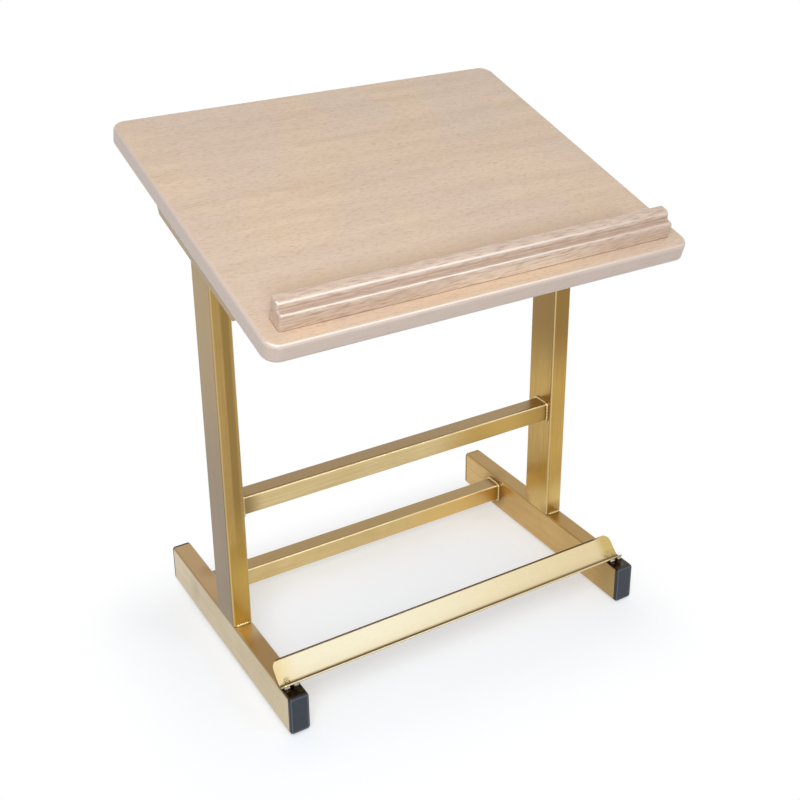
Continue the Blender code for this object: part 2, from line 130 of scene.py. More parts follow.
def new_finish(name, recipe, *terms):
    """A material, its shader's inputs set to what a recipe makes of the terms.

    Recipes and masks get the function that adds a node to the material's own tree.
    """
    finish = bpy.data.materials.new(name)
    finish.use_nodes = True
    add = partial(add_node, finish.node_tree)
    plug_in(finish.node_tree.nodes["Principled BSDF"], recipe(add, *terms))
    return finish


def grows(add, way, start, end, most=1.0, least=0.0, ease="SMOOTHSTEP"):
    """A mask that goes from its least to its most between two places along a direction."""
    spot = add("TexCoord", (), "Object")
    place = add("VectorMath", (spot, way), operation="DOT_PRODUCT")
    return add("MapRange", (place, start, end, least, most), interpolation_type=ease)


def near(add, place, start, end, most=1.0, ease="SMOOTHSTEP"):
    """A mask that grows to its most between two distances from a place."""
    spot = add("TexCoord", (), "Object")
    away = add("VectorMath", (spot, place), operation="DISTANCE")
    return add("MapRange", (away, start, end, 0.0, most), interpolation_type=ease)


def faces(add, way, start=0.6, end=0.95, most=1.0, least=0.0, ease="LINEAR"):
    """A mask that goes from its least to its most as faces turn to look one way."""
    normal = add("NewGeometry", (), "Normal")
    turned = add("VectorMath", (normal, way), operation="DOT_PRODUCT")
    return add("MapRange", (turned, start, end, least, most), interpolation_type=ease)


def rounded_edge(add, share):
    """A mask that reaches a share on edges rounded between two of the frame's ways, and 0 on flats."""
    normal = add("NewGeometry", (), "Normal")
    size = add("VectorMath", (normal,), operation="ABSOLUTE")
    flattest = either(add, *[(add("SeparateXYZ", (size,), axis),) for axis in "XYZ"])
    ends = (flattest, *EDGE_TURN, 0.0, share)
    return add("MapRange", ends, interpolation_type="SMOOTHSTEP")


def amount(add, what, *terms):
    """What a mask's function makes of its terms, a pattern through a ramp, or a value as it is."""
    if callable(what):
        return what(add, *terms)
    return add("MapRange", (what, *terms)) if terms else what


def both(add, *masks):
    """A mask that holds only where all of these hold, each one the terms of an amount."""
    held = 1.0
    for mask in masks:
        held = add("Math", (held, amount(add, *mask)), operation="MULTIPLY")
    return held


def either(add, *masks):
    """A mask that holds wherever one of these holds, each one the terms of an amount."""
    held = 0.0
    for mask in masks:
        held = add("Math", (held, amount(add, *mask)), operation="MAXIMUM")
    return held


def paint(add, ground, layers):
    """Lays tones over a ground, one after another; a layer is a tone and the terms of its amount."""
    for tone, *mask in layers:
        under, over = [linear(part) if isinstance(part, str) else part for part in (ground, tone)]
        ground = add("Mix", (amount(add, *mask), under, over), data_type="RGBA")
    return ground


def noise(add, size, look, spot=None):
    """Noise whose patches have a real size, the same every way or along X, Y and Z."""
    if spot is None:
        spot = add("TexCoord", (), "Object")
    sizes = size if isinstance(size, (list, tuple)) else [size] * 3
    scaled = add("Mapping", {"Vector": spot, "Scale": [1 / patch for patch in sizes]})
    return add("TexNoise", {"Vector": scaled, "Scale": 1.0, **look})


def gold_lacquer(add, along, tones, layers):
    """Gold lacquer over linished steel: faint lines along the tube, cloudy where the coat is thicker.

    The lines are really about 0.2 mm apart and are drawn coarser here so that they show. The metal
    gives a soft satin gleam, the clear coat a paler one at a low angle.
    The tones are the line's shade and the body, and the layers are what is laid over them.
    """
    shade, body = tones
    lines = noise(add, [LINISH_LENGTH if part else LINISH_WIDTH for part in along], {"Detail": 3.0})
    clouds = noise(add, LACQUER_CLOUD, {"Detail": 4.0, "Roughness": 0.6})
    lacquer = ((body, lines, *LINISH_RAMP), (shade, clouds, *CLOUD_RAMP), *layers)
    normal = add("NewGeometry", (), "Normal")
    return {
        "Base Color": paint(add, shade, lacquer),
        "Roughness": amount(add, lines, *GOLD_GLEAM),
        "Normal": add("Bump", {"Strength": 0.15, "Distance": LINISH_DEEP, "Height": lines}),
        "Tangent": add("VectorMath", (normal, along), operation="CROSS_PRODUCT"),
        "Metallic": 1.0,
        "Anisotropic": 0.7,
        "Coat Weight": 0.5,
        "Coat Roughness": 0.18,
    }


def lip_shadow(add, top):
    """A ragged mask on the front of a foot's top, under the strip's lip: a painted shadow and reflection
    of the lip.
    """
    patches = noise(add, LIP_SHADOW_RAGGED, {"Detail": 4.0})
    ahead = (grows, BACK, *LIP_SHADOW_SPAN)
    high = (grows, UP, top - LIP_SHADOW_DEEP, top - LIP_SHADOW_FULL)
    return both(add, ahead, high, (patches, *LIP_SHADOW_RAMP))


def open_up(name):
    """Names the new primitive, applies its place and opens it in edit mode."""
    piece = bpy.context.object
    piece.name = name
    bpy.ops.object.transform_apply()
    bpy.ops.object.mode_set(mode="EDIT")
    return piece


def start_block(name, low, high):
    """A cube drawn out between two corners, left in edit mode."""
    low, high = Vector(low), Vector(high)
    bpy.ops.mesh.primitive_cube_add(size=1, location=(low + high) / 2, scale=high - low)
    return open_up(name)


def pick(kind, wanted):
    """Selects the edit mesh's verts, edges or faces for which the test holds, and nothing else."""
    shape = bmesh.from_edit_mesh(bpy.context.object.data)
    bpy.ops.mesh.select_mode(type=kind)
    bpy.ops.mesh.select_all(action="DESELECT")
    for item in {"VERT": shape.verts, "EDGE": shape.edges, "FACE": shape.faces}[kind]:
        if wanted(item):
            item.select_set(True)
    bmesh.update_edit_mesh(bpy.context.object.data)


def pick_facing(way):
    pick("FACE", lambda face: face.normal.dot(way) > SQUARE)


def runs_along(edge, way):
    span = edge.verts[1].co - edge.verts[0].co
    return abs(span.dot(way)) > SQUARE * span.length


def round_edges(wanted, width, steps=CORNER_STEPS):
    pick("EDGE", wanted)
    bpy.ops.mesh.bevel(offset=width, segments=steps, profile=0.5, affect="EDGES")


def open_bore(along):
    """Makes a tube of a bar: both end faces are inset by the wall, cut out and bridged through."""
    pick("FACE", lambda face: abs(face.normal.dot(along)) > END_TURN)
    bpy.ops.mesh.inset(thickness=TUBE_WALL)
    bpy.ops.mesh.delete(type="ONLY_FACE")
    pick("EDGE", lambda edge: edge.is_boundary)
    bpy.ops.mesh.bridge_edge_loops()


def take_up(piece):
    """Leaves edit mode and makes the piece the only selected one and the active one."""
    bpy.ops.object.mode_set(mode="OBJECT")
    bpy.ops.object.select_all(action="DESELECT")
    piece.select_set(True)
    bpy.context.view_layer.objects.active = piece


def apply_modifier(piece, kind, **settings):
    """Adds a modifier to the active piece with its settings, and applies it."""
    added = piece.modifiers.new(kind.lower(), kind)
    for name, value in settings.items():
        setattr(added, name, value)
    bpy.ops.object.modifier_apply(modifier=added.name)


def sharpen(piece, angle=35):
    """Merges doubles and shades the roundings smooth with the flats kept flat."""
    take_up(piece)
    bpy.ops.object.mode_set(mode="EDIT")
    bpy.ops.mesh.select_all(action="SELECT")
    bpy.ops.mesh.remove_doubles(threshold=1e-7)
    bpy.ops.object.mode_set(mode="OBJECT")
    bpy.ops.object.shade_smooth_by_angle(angle=math.radians(angle))
    apply_modifier(piece, "WEIGHTED_NORMAL", keep_sharp=True)
    return piece


def another(piece, name, shift=(0, 0, 0), mirror=False, turn=0.0):
    """A copy with its own mesh, moved, mirrored across the middle or turned, its place applied."""
    take_up(piece)
    bpy.ops.object.duplicate()
    copy = bpy.context.object
    copy.name = name
    copy.location = shift
    copy.rotation_euler.z = turn
    copy.scale.x = -1 if mirror else 1
    bpy.ops.object.transform_apply()
    if mirror:
        bpy.ops.object.mode_set(mode="EDIT")
        bpy.ops.mesh.select_all(action="SELECT")
        bpy.ops.mesh.normals_make_consistent(inside=False)
        bpy.ops.object.mode_set(mode="OBJECT")
    return copy


def hand_over(piece, finish, node):
    piece.data.materials.clear()
    piece.data.materials.append(finish)
    piece.data.name = piece.name
    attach(piece, "root")
    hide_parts(node)


foot_low, foot_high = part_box("left_foot")
left_foot = start_block("tube_foot_left", foot_low, foot_high)
round_edges(lambda edge: runs_along(edge, BACK), TUBE_CORNER)
open_bore(BACK)
sharpen(left_foot)
right_foot = another(left_foot, "tube_foot_right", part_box("right_foot")[0] - foot_low)
upright_front = ((foot_low.x + foot_high.x) / 2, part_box("left_upright")[0].y, foot_high.z)
foot_layers = {
    "left": (
        (FOOT_TOPS["left"], faces, UP),
        (FOOT_TOP_BACK, both, (faces, UP), (grows, BACK, *TOP_BACK_SPAN)),
        (FOOT_BY_UPRIGHT, both, (faces, UP), (near, upright_front, *BY_UPRIGHT_SPAN)),
    ),
    "right": ((FOOT_FRONT_END, grows, BACK, *FRONT_END_SPAN), (FOOT_TOPS["right"], faces, UP)),
}
bar_low, bar_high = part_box("lower_crossbar")
bar_middle = (bar_low + bar_high) / 2
for side, foot, bar_end in (("left", left_foot, bar_low.x), ("right", right_foot, bar_high.x)):
    layers = (
        *foot_layers[side],
        (WELD_SHADE, near, (bar_end, bar_middle.y, bar_middle.z), *BAR_WELD_SPAN),
        (FOOT_EDGE, rounded_edge, FOOT_EDGE_SHARE),
        (LIP_SHADOW, lip_shadow, foot_high.z),
    )
    name = f"gold_lacquer_on_{side}_foot"
    foot_gold = new_finish(name, gold_lacquer, BACK, FOOT_TONES[side], layers)
    hand_over(foot, foot_gold, f"{side}_foot")


# Glides
# Four round pads stuck under the feet, so that the steel doesn't scratch the table.
# They are punched from dark rubber sheet, dished a little in the middle of the underside.

GLIDE_SIDES = 48
# A rounding with two values is its width and the steps that it is made in.
GLIDE_EDGE = (0.5 * MM, 3)
GLIDE_RIM = 2.0 * MM
GLIDE_DISH = 0.4 * MM
RUBBER = "#2b2d2c"
RUBBER_DUST = "#4b4c48"
RUBBER_GRAIN = 0.6 * MM
PEBBLE_DEEP = 0.1 * MM


def moulded_rubber(add):
    """Dark rubber, matt and faintly pebbled, with pale dust in the pebbling (drawn coarse)."""
    pebbles = noise(add, RUBBER_GRAIN, {"Detail": 2.0})
    return {
        "Base Color": paint(add, RUBBER, [(RUBBER_DUST, pebbles)]),
        "Normal": add("Bump", {"Strength": 0.4, "Distance": PEBBLE_DEEP, "Height": pebbles}),
        "Roughness": 0.8,
        "IOR": 1.52,
    }


def start_round(name, sides, width, low, high):
    """An upright cylinder between two heights, left in edit mode."""
    bpy.ops.mesh.primitive_cylinder_add(
        vertices=sides, radius=width / 2, depth=high.z - low.z, location=(low + high) / 2
    )
    return open_up(name)


rubber = new_finish("moulded_rubber", moulded_rubber)
glide_low, glide_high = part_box("left_front_glide")
glide_width = glide_high.x - glide_low.x
first_glide = start_round("rubber_glide_left_front", GLIDE_SIDES, glide_width, glide_low, glide_high)
round_edges(lambda edge: all(vert.co.z < FLAT for vert in edge.verts), *GLIDE_EDGE)
pick_facing(-UP)
bpy.ops.mesh.inset(thickness=GLIDE_RIM)
bpy.ops.transform.translate(value=UP * GLIDE_DISH)
sharpen(first_glide)
for corner in ("right_front", "left_rear", "right_rear"):
    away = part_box(f"{corner}_glide")[0] - glide_low
    glide = another(first_glide, f"rubber_glide_{corner}", away)
    hand_over(glide, rubber, f"{corner}_glide")
hand_over(first_glide, rubber, "left_front_glide")


# End caps
# Four plugs that close the open ends of the feet: a flat head with rounded edges, flush with the
# tube, and a ribbed shank pushed into the bore. Injection-moulded in dark polyethylene. The right
# rear one was in place when the frame was sprayed, so its rim is gold.

CAP_HEAD = 3.0 * MM
CAP_CORNER = 3.2 * MM
CAP_EDGE = 1.2 * MM
CAP_SHANK_IN = 2.8 * MM
CAP_RIB = 1.0 * MM
CAP_RIB_THICK = 1.2 * MM
CAP_RIB_GAP = 3.4 * MM
CAP_RIBS = 3
CAP_FIT = 0.3 * MM
POLYETHYLENE = "#1c2431"
POLYETHYLENE_WORN = "#2f3742"
POLYETHYLENE_RIM = "#0f1114"
# Painted highlight: a paler line round the cap's face, just inside its edge.
POLYETHYLENE_HIGHLIGHT = "#5f6978"
OVERSPRAY = "#b0904e"
OVERSPRAY_METAL = 0.9
CAP_LINE = 1.7 * MM
CAP_LINE_HALF = 0.6 * MM
CAP_LINE_SHARE = 0.6
CAP_SIDE_TURN = (0.75, 0.45, 1.0, 0.0, "SMOOTHSTEP")
MOULD_GRAIN = 0.9 * MM
GRAIN_DEEP = 0.05 * MM
SCUFF = 7 * MM
SCUFF_RAMP = (0.4, 0.75)
PLASTIC_GLEAM = (0.3, 0.7, 0.36, 0.48)


def past_box(add, spot, box_middle, box_half):
    """How far a spot lies past the sides of a box along X, Y and Z; less than 0 is inside."""
    apart = add("VectorMath", (spot, box_middle), operation="SUBTRACT")
    size = add("VectorMath", (apart,), operation="ABSOLUTE")
    return add("VectorMath", (size, box_half), operation="SUBTRACT")


def moulded_polyethylene(add, cap_middle, cap_half, rim, lacquered):
    """Dark blue-grey plastic with a fine moulded grain (drawn coarse) and faint paler scuffs.

    A painted highlight runs round the face just inside its edge. The rim is the tone of the sides, which
    stay blacker than the face or are lacquered with the tube.
    """
    grain = noise(add, MOULD_GRAIN, {"Detail": 2.0})
    scuffs = noise(add, SCUFF, {"Detail": 6.0, "Roughness": 0.75})
    side = both(add, (faces, BACK, *CAP_SIDE_TURN), (faces, -BACK, *CAP_SIDE_TURN))
    spot = add("TexCoord", (), "Object")
    either_side = add("VectorMath", (spot,), operation="ABSOLUTE")
    past = past_box(add, either_side, cap_middle, cap_half)
    aside, above = [add("SeparateXYZ", (past,), axis) for axis in "XZ"]
    depth = add("Math", (aside, above), operation="MAXIMUM")
    line = add("Math", (depth, -CAP_LINE, CAP_LINE_HALF), operation="COMPARE")
    layers = (
        (POLYETHYLENE_WORN, scuffs, *SCUFF_RAMP),
        (POLYETHYLENE_HIGHLIGHT, both, (line,), (CAP_LINE_SHARE,)),
        (rim, side),
    )
    return {
        "Base Color": paint(add, POLYETHYLENE, layers),
        "Metallic": both(add, (side,), (lacquered,)),
        "Roughness": amount(add, scuffs, *PLASTIC_GLEAM),
        "Normal": add("Bump", {"Strength": 0.2, "Distance": GRAIN_DEEP, "Height": grain}),
        "IOR": 1.51,
    }


def draw_out(step):
    """Draws the selected faces or edges out by a step."""
    bpy.ops.mesh.extrude_region_move(TRANSFORM_OT_translate={"value": step})


def push_face(step, inset=0.0):
    """Draws the selected face back by a step and shrinks it by an inset, or swells it if negative."""
    draw_out(BACK * step)
    shape = bmesh.from_edit_mesh(bpy.context.object.data)
    chosen = [vert for vert in shape.verts if vert.select]
    centre = sum((vert.co for vert in chosen), Vector()) / len(chosen)
    for vert in chosen:
        offset = vert.co - centre
        vert.co.x -= inset * math.copysign(1, offset.x)
        vert.co.z -= inset * math.copysign(1, offset.z)
    bmesh.update_edit_mesh(bpy.context.object.data)


cap_low, cap_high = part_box("left_front_cap")
first_cap = start_block("end_cap_left_front", cap_low, (cap_high.x, cap_low.y + CAP_HEAD, cap_high.z))
round_edges(lambda edge: runs_along(edge, BACK), CAP_CORNER)
round_edges(lambda edge: all(vert.co.y < cap_low.y + FLAT for vert in edge.verts), CAP_EDGE)
pick_facing(BACK)
push_face(CAP_FIT, CAP_SHANK_IN)
for rib in range(CAP_RIBS):
    push_face(CAP_RIB_GAP / 2)
    push_face(FLAT, -CAP_RIB)
    push_face(CAP_RIB_THICK)
    push_face(FLAT, CAP_RIB)
    push_face(CAP_RIB_GAP / 2)
sharpen(first_cap)
right_low, right_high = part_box("right_front_cap")
caps = {
    "left_front": first_cap,
    "right_front": another(first_cap, "end_cap_right_front", right_low - cap_low),
}
for side in ("left", "right"):
    rear_low, rear_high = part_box(f"{side}_rear_cap")
    front_low, front_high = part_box(f"{side}_front_cap")
    shift = (rear_low.x + front_high.x, rear_high.y + front_low.y, 0)
    rear = another(caps[f"{side}_front"], f"end_cap_{side}_rear", shift, turn=math.pi)
    caps[f"{side}_rear"] = rear
head = ((right_low + right_high) / 2, (right_high - right_low) / 2)
name = "moulded_polyethylene"
black_rimmed = new_finish(name, moulded_polyethylene, *head, POLYETHYLENE_RIM, 0.0)
name = "moulded_polyethylene_oversprayed"
gold_rimmed = new_finish(name, moulded_polyethylene, *head, OVERSPRAY, OVERSPRAY_METAL)
for corner, cap in caps.items():
    plastic = gold_rimmed if corner == "right_rear" else black_rimmed
    hand_over(cap, plastic, f"{corner}_cap")


# Uprights
# The same 40 x 20 mm tube standing on the feet, wide side front to back.
# The foot end is sawn square and the top is sawn to the board's slope, just under the bracket.

SLOPE = math.radians(17.1)
UPHILL = Vector((0, math.cos(SLOPE), math.sin(SLOPE)))
OFF_BOARD = Vector((0, -math.sin(SLOPE), math.cos(SLOPE)))

# The left and right tones are one lacquer set apart as painted reflection and shade.
UPRIGHT_TONES = {"left": ("#a48245", "#b89755"), "right": ("#b18c40", "#c8a34f")}
# Partly edge rub, partly a painted highlight: the rounded edges are paler.
UPRIGHT_EDGE = "#ead6a4"
UPRIGHT_EDGE_SHARE = {"left": 0.35, "right": 0.6}
UPRIGHT_WELD_SHADE_SPAN = {"left": (19 * MM, 9 * MM, 0.12), "right": (19 * MM, 9 * MM, 0.5)}
# All these layers are painted light and shade. The left upright has a painted reflection band down its
# front, is paler low down on its front as painted reflection, and is darker on its left side, more so
# low down, as painted shade. The right upright is paler at its foot as painted reflection and darker at
# its top as painted shade.
REFLECTED_BAND_SIDES = ((grows, RIGHT, -192 * MM, -190 * MM), (grows, RIGHT, -182 * MM, -185 * MM))
# The front and the left side: the direction between them, and the turn.
TO_READER = (faces, Vector((-0.7, -0.7, 0)), 0.2, 0.6)
REFLECTED_BAND = ("#937539", both, *REFLECTED_BAND_SIDES)
FRONT_LOW = ("#cba44c", both, TO_READER, (grows, UP, 190 * MM, 90 * MM))
LEFT_SIDE = ("#a18243", faces, -RIGHT)
LEFT_SIDE_LOW = ("#7d612d", both, (faces, -RIGHT), (grows, UP, 380 * MM, 150 * MM))
PALE_FOOT = ("#d3b369", both, TO_READER, (grows, UP, 95 * MM, 60 * MM))
DEEP_TOP = ("#916f2d", both, TO_READER, (grows, UP, 190 * MM, 275 * MM))
UPRIGHT_LAYERS = {"left": (REFLECTED_BAND, FRONT_LOW, LEFT_SIDE, LEFT_SIDE_LOW), "right": (PALE_FOOT, DEEP_TOP)}

upright_low, upright_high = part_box("left_upright")
left_upright = start_block("tube_upright_left", upright_low, upright_high)
round_edges(lambda edge: runs_along(edge, UP), TUBE_CORNER)
bpy.ops.mesh.select_all(action="SELECT")
bpy.ops.mesh.bisect(
    plane_co=upright_high, plane_no=OFF_BOARD, use_fill=True, clear_outer=True, threshold=1e-6
)
open_bore(UP)
sharpen(left_upright)
upright_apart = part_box("right_upright")[0] - upright_low
right_upright = another(left_upright, "tube_upright_right", upright_apart)
for side, upright in (("left", left_upright), ("right", right_upright)):
    tube_low, tube_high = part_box(f"{side}_upright")
    centre = (tube_low.x + tube_high.x) / 2
    welds = [(centre, tube_low.y, tube_low.z), (centre, tube_high.y, tube_low.z)]
    weld_shade = [(WELD_SHADE, near, weld, *UPRIGHT_WELD_SHADE_SPAN[side]) for weld in welds]
    edge = (UPRIGHT_EDGE, rounded_edge, UPRIGHT_EDGE_SHARE[side])
    layers = (*UPRIGHT_LAYERS[side], *weld_shade, edge)
    name = f"gold_lacquer_on_{side}_upright"
    upright_gold = new_finish(name, gold_lacquer, UP, UPRIGHT_TONES[side], layers)
    hand_over(upright, upright_gold, f"{side}_upright")


# Crossbars
# Two lengths of 20 mm square tube that tie the sides together: one between the uprights, set in a
# little from their front, and one low down between the feet, behind the uprights.

# The two bars' tones are one lacquer set apart as painted reflection. Both bars deepen to the right and
# their tops are darker as painted shade, and the upper bar's left end is darker as painted shade.
BAR_TONES = {"upper": ("#c8af74", "#e1ca98"), "lower": ("#ccae6e", "#e5ca92")}
BAR_RIGHT = {"upper": "#c29e50", "lower": "#e1be74"}
BAR_END = {"upper": "#ab873d", "lower": "#d8b56c"}
BAR_TOP = {"upper": "#9e8151", "lower": "#a38653"}
BAR_SHADED = "#9d8353"
# Partly edge rub, partly a painted highlight: the rounded edges are paler.
BAR_EDGE = "#f6e4b6"
BAR_EDGE_SHARE = 0.85
BAR_RIGHT_SPAN = (20 * MM, 95 * MM)
BAR_END_SPAN = (120 * MM, 175 * MM)
BAR_SHADED_SPAN = (-155 * MM, -176 * MM)
BAR_WELD_SHADE_SPAN = (166 * MM, 190 * MM)

for level in ("upper", "lower"):
    layers = [
        (BAR_RIGHT[level], grows, RIGHT, *BAR_RIGHT_SPAN),
        (BAR_END[level], grows, RIGHT, *BAR_END_SPAN),
        (BAR_TOP[level], faces, UP),
        (WELD_SHADE, grows, -RIGHT, *BAR_WELD_SHADE_SPAN),
        (WELD_SHADE, grows, RIGHT, *BAR_WELD_SHADE_SPAN),
        (BAR_EDGE, rounded_edge, BAR_EDGE_SHARE),
    ]
    if level == "upper":
        layers.insert(0, (BAR_SHADED, grows, RIGHT, *BAR_SHADED_SPAN))
    name = f"gold_lacquer_on_{level}_bar"
    bar_gold = new_finish(name, gold_lacquer, RIGHT, BAR_TONES[level], layers)
    bar_low, bar_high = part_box(f"{level}_crossbar")
    bar = start_block(f"tube_crossbar_{level}", bar_low, bar_high)
    round_edges(lambda edge: runs_along(edge, RIGHT), TUBE_CORNER)
    open_bore(RIGHT)
    sharpen(bar)
    hand_over(bar, bar_gold, f"{level}_crossbar")


# Weld beads of the frame
# Beads laid by hand round both ends of each crossbar, and across the front and back of each
# upright where it stands on its foot. The pool freezes in ripples, and the lacquer covers it.

BEAD_THICK = 1.5 * MM
BEAD_OUT = 0.7 * MM
BEAD_STEP = 0.6 * MM
BEAD_ROUND = 2
BEAD_SMOOTH = 60
BEAD_TIP = 0.05
RIPPLE_PITCH = 2.4 * MM
RIPPLE = 0.13
# The beads are paler than the frame as painted highlight.
BEAD_TONES = ("#b9a068", "#dcc794")
BEAD_EDGE = "#ead6a4"
BEAD_EDGE_SHARE = 0.1


def bead_along(thick, tapered):
    """A rippled bead round the edges of the open path mesh, thinning at its ends if it tapers."""
    bpy.ops.object.mode_set(mode="OBJECT")
    bpy.ops.object.convert(target="CURVE")
    bead = bpy.context.object
    bead.data.bevel_depth = thick
    bead.data.bevel_resolution = BEAD_ROUND
    bead.data.use_fill_caps = True
    for spline in bead.data.splines:
        spline.use_smooth = True
        last = len(spline.points) - 1
        for i, point in enumerate(spline.points):
            swell = 1 + RIPPLE * math.sin(2 * math.pi * i * BEAD_STEP / RIPPLE_PITCH)
            end = math.sqrt(max(BEAD_TIP, 1 - (2 * i / last - 1) ** 4)) if tapered else 1
            point.radius = swell * end
    bpy.ops.object.convert(target="MESH")
    return sharpen(bead, BEAD_SMOOTH)


def round_corners(wanted, width, steps):
    pick("VERT", wanted)
    bpy.ops.mesh.bevel(offset=width, segments=steps, affect="VERTICES")


def ring_bead(name, low, high, face_x):
    """A bead round a square bar's end, its path halved until no edge is much over a step."""
    centre = (low + high) / 2
    centre.x = face_x
    width = high.y - low.y + 2 * BEAD_OUT
    bpy.ops.mesh.primitive_plane_add(size=width, location=centre, rotation=(0, math.pi / 2, 0))
    open_up(name)
    round_corners(lambda vert: True, TUBE_CORNER + BEAD_OUT, CORNER_STEPS)
    pick("FACE", lambda face: True)
    bpy.ops.mesh.delete(type="ONLY_FACE")
    for steps in (8, 4, 2, 1):
        pick("EDGE", lambda edge: edge.calc_length() > steps * BEAD_STEP)
        bpy.ops.mesh.subdivide(number_cuts=1)
    return bead_along(BEAD_THICK, False)


def line_bead(name, start, end, thick=BEAD_THICK):
    """A straight bead between two points, made from one edge of a plane."""
    start, end = Vector(start), Vector(end)
    bpy.ops.mesh.primitive_plane_add(size=1)
    path = open_up(name)
    pick("VERT", lambda vert: vert.co.y > 0)
    bpy.ops.mesh.delete(type="VERT")
    shape = bmesh.from_edit_mesh(path.data)
    for vert in shape.verts:
        vert.co = start if vert.co.x < 0 else end
    bmesh.update_edit_mesh(path.data)
    pick("EDGE", lambda edge: True)
    bpy.ops.mesh.subdivide(number_cuts=round((end - start).length / BEAD_STEP))
    return bead_along(thick, True)


bead_layers = [(BEAD_EDGE, rounded_edge, BEAD_EDGE_SHARE)]
gold_bead = new_finish("gold_lacquer_on_beads", gold_lacquer, RIGHT, BEAD_TONES, bead_layers)
for level in ("upper", "lower"):
    bar_low, bar_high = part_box(f"{level}_crossbar")
    for side, face_x in (("left", bar_low.x + BEAD_OUT), ("right", bar_high.x - BEAD_OUT)):
        ring = ring_bead(f"weld_{level}_crossbar_{side}", bar_low, bar_high, face_x)
        hand_over(ring, gold_bead, f"{level}_crossbar_{side}_weld")
for side in ("left", "right"):
    tube_low, tube_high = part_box(f"{side}_upright")
    for end, bead_y in (("front", tube_low.y - BEAD_OUT), ("rear", tube_high.y + BEAD_OUT)):
        start = (tube_low.x + TUBE_CORNER, bead_y, tube_low.z + BEAD_OUT)
        stop = (tube_high.x - TUBE_CORNER, bead_y, tube_low.z + BEAD_OUT)
        bead = line_bead(f"weld_upright_{side}_{end}", start, stop)
        hand_over(bead, gold_bead, f"{side}_upright_{end}_weld")


# Book stop strip
# One strip of 1.5 mm steel sheet folded to a right angle along its length, laid on its fold across
# the front of both feet, so that the wide flange leans back and the narrow lip leans forward.
# Its free corners are rounded. It is lacquered like the tube, spattered at its right end and burnt in a
# small spot at its left end.

STRIP_FLANGE = 27 * MM
STRIP_LIP = 12 * MM
STRIP_THICK = 1.5 * MM
STRIP_FOLD = (3.5 * MM, 8)
STRIP_FLANGE_CORNER = (8 * MM, 8)
STRIP_LIP_CORNER = (3 * MM, 5)
STRIP_BURR = 0.3 * MM
STRIP_LEAN = math.radians(45)
STRIP_SMOOTH = 40
FOLD_AHEAD = 121.5 * MM
FOLD_HEIGHT = 41.35 * MM
# The pale tone is a painted sheen; the deeper tone towards the right and the gold at the ends are
# painted shade.
SHEET_PALE = "#c8c1a8"
SHEET_DEEP = "#d2c198"
# The flecked tone gives real flecks, and low on the flange a painted shade near the fold. The brown tone
# is painted shade in the fold and behind the lip. The burnt tone gives real spatter and a real burn, and
# a painted shade along the top edge.
SHEET_FLECK_AND_SHADE = "#bba77e"
SHEET_GOLD = "#c0a767"
SHEET_FOLD_SHADE = "#7a6238"
SHEET_BURN_AND_SHADE = "#523e20"
SHEET_FLECK = 2.2 * MM
SHEET_FLECK_LONG = 6.6 * MM
SHEET_RELIEF = 0.05 * MM
SPATTER = 1.2 * MM
BURN_IN = 8 * MM
BURN_UP = 5 * MM
BURN_SPAN = (4.5 * MM, 3.15 * MM, 1.0, "LINEAR")
RIGHT_END_SPAN = (-22 * MM, -8.8 * MM)
LEFT_END_SPAN = (22 * MM, 0, 0.7, 0.0, "LINEAR")
DEEPER_FROM = 0.5
DEEPER_TO = 0.9
LOW_SPAN = (12.6 * MM, 5.4 * MM, 1.0, 0.0, "LINEAR")
LOW_SHARE = 0.25
CREASE_SPAN = (5.22 * MM, 2.7 * MM)
BEHIND_LIP_SPAN = (6.3 * MM, 4.32 * MM)
TOP_EDGE_SPAN = (24.79 * MM, 25.64 * MM)
FLECK_RAMP = (0.5, 0.75, 0.0, 0.3)
SPECK_RAMP = (0.5, 0.6)
BLOT_RAMP = (0.45, 0.55)
SHEET_GLEAM = (0.3, 0.7, 0.42, 0.36)


def from_place(start, span):
    """A span with its two places measured from a start."""
    first, full, *rest = span
    return [start + first, start + full, *rest]


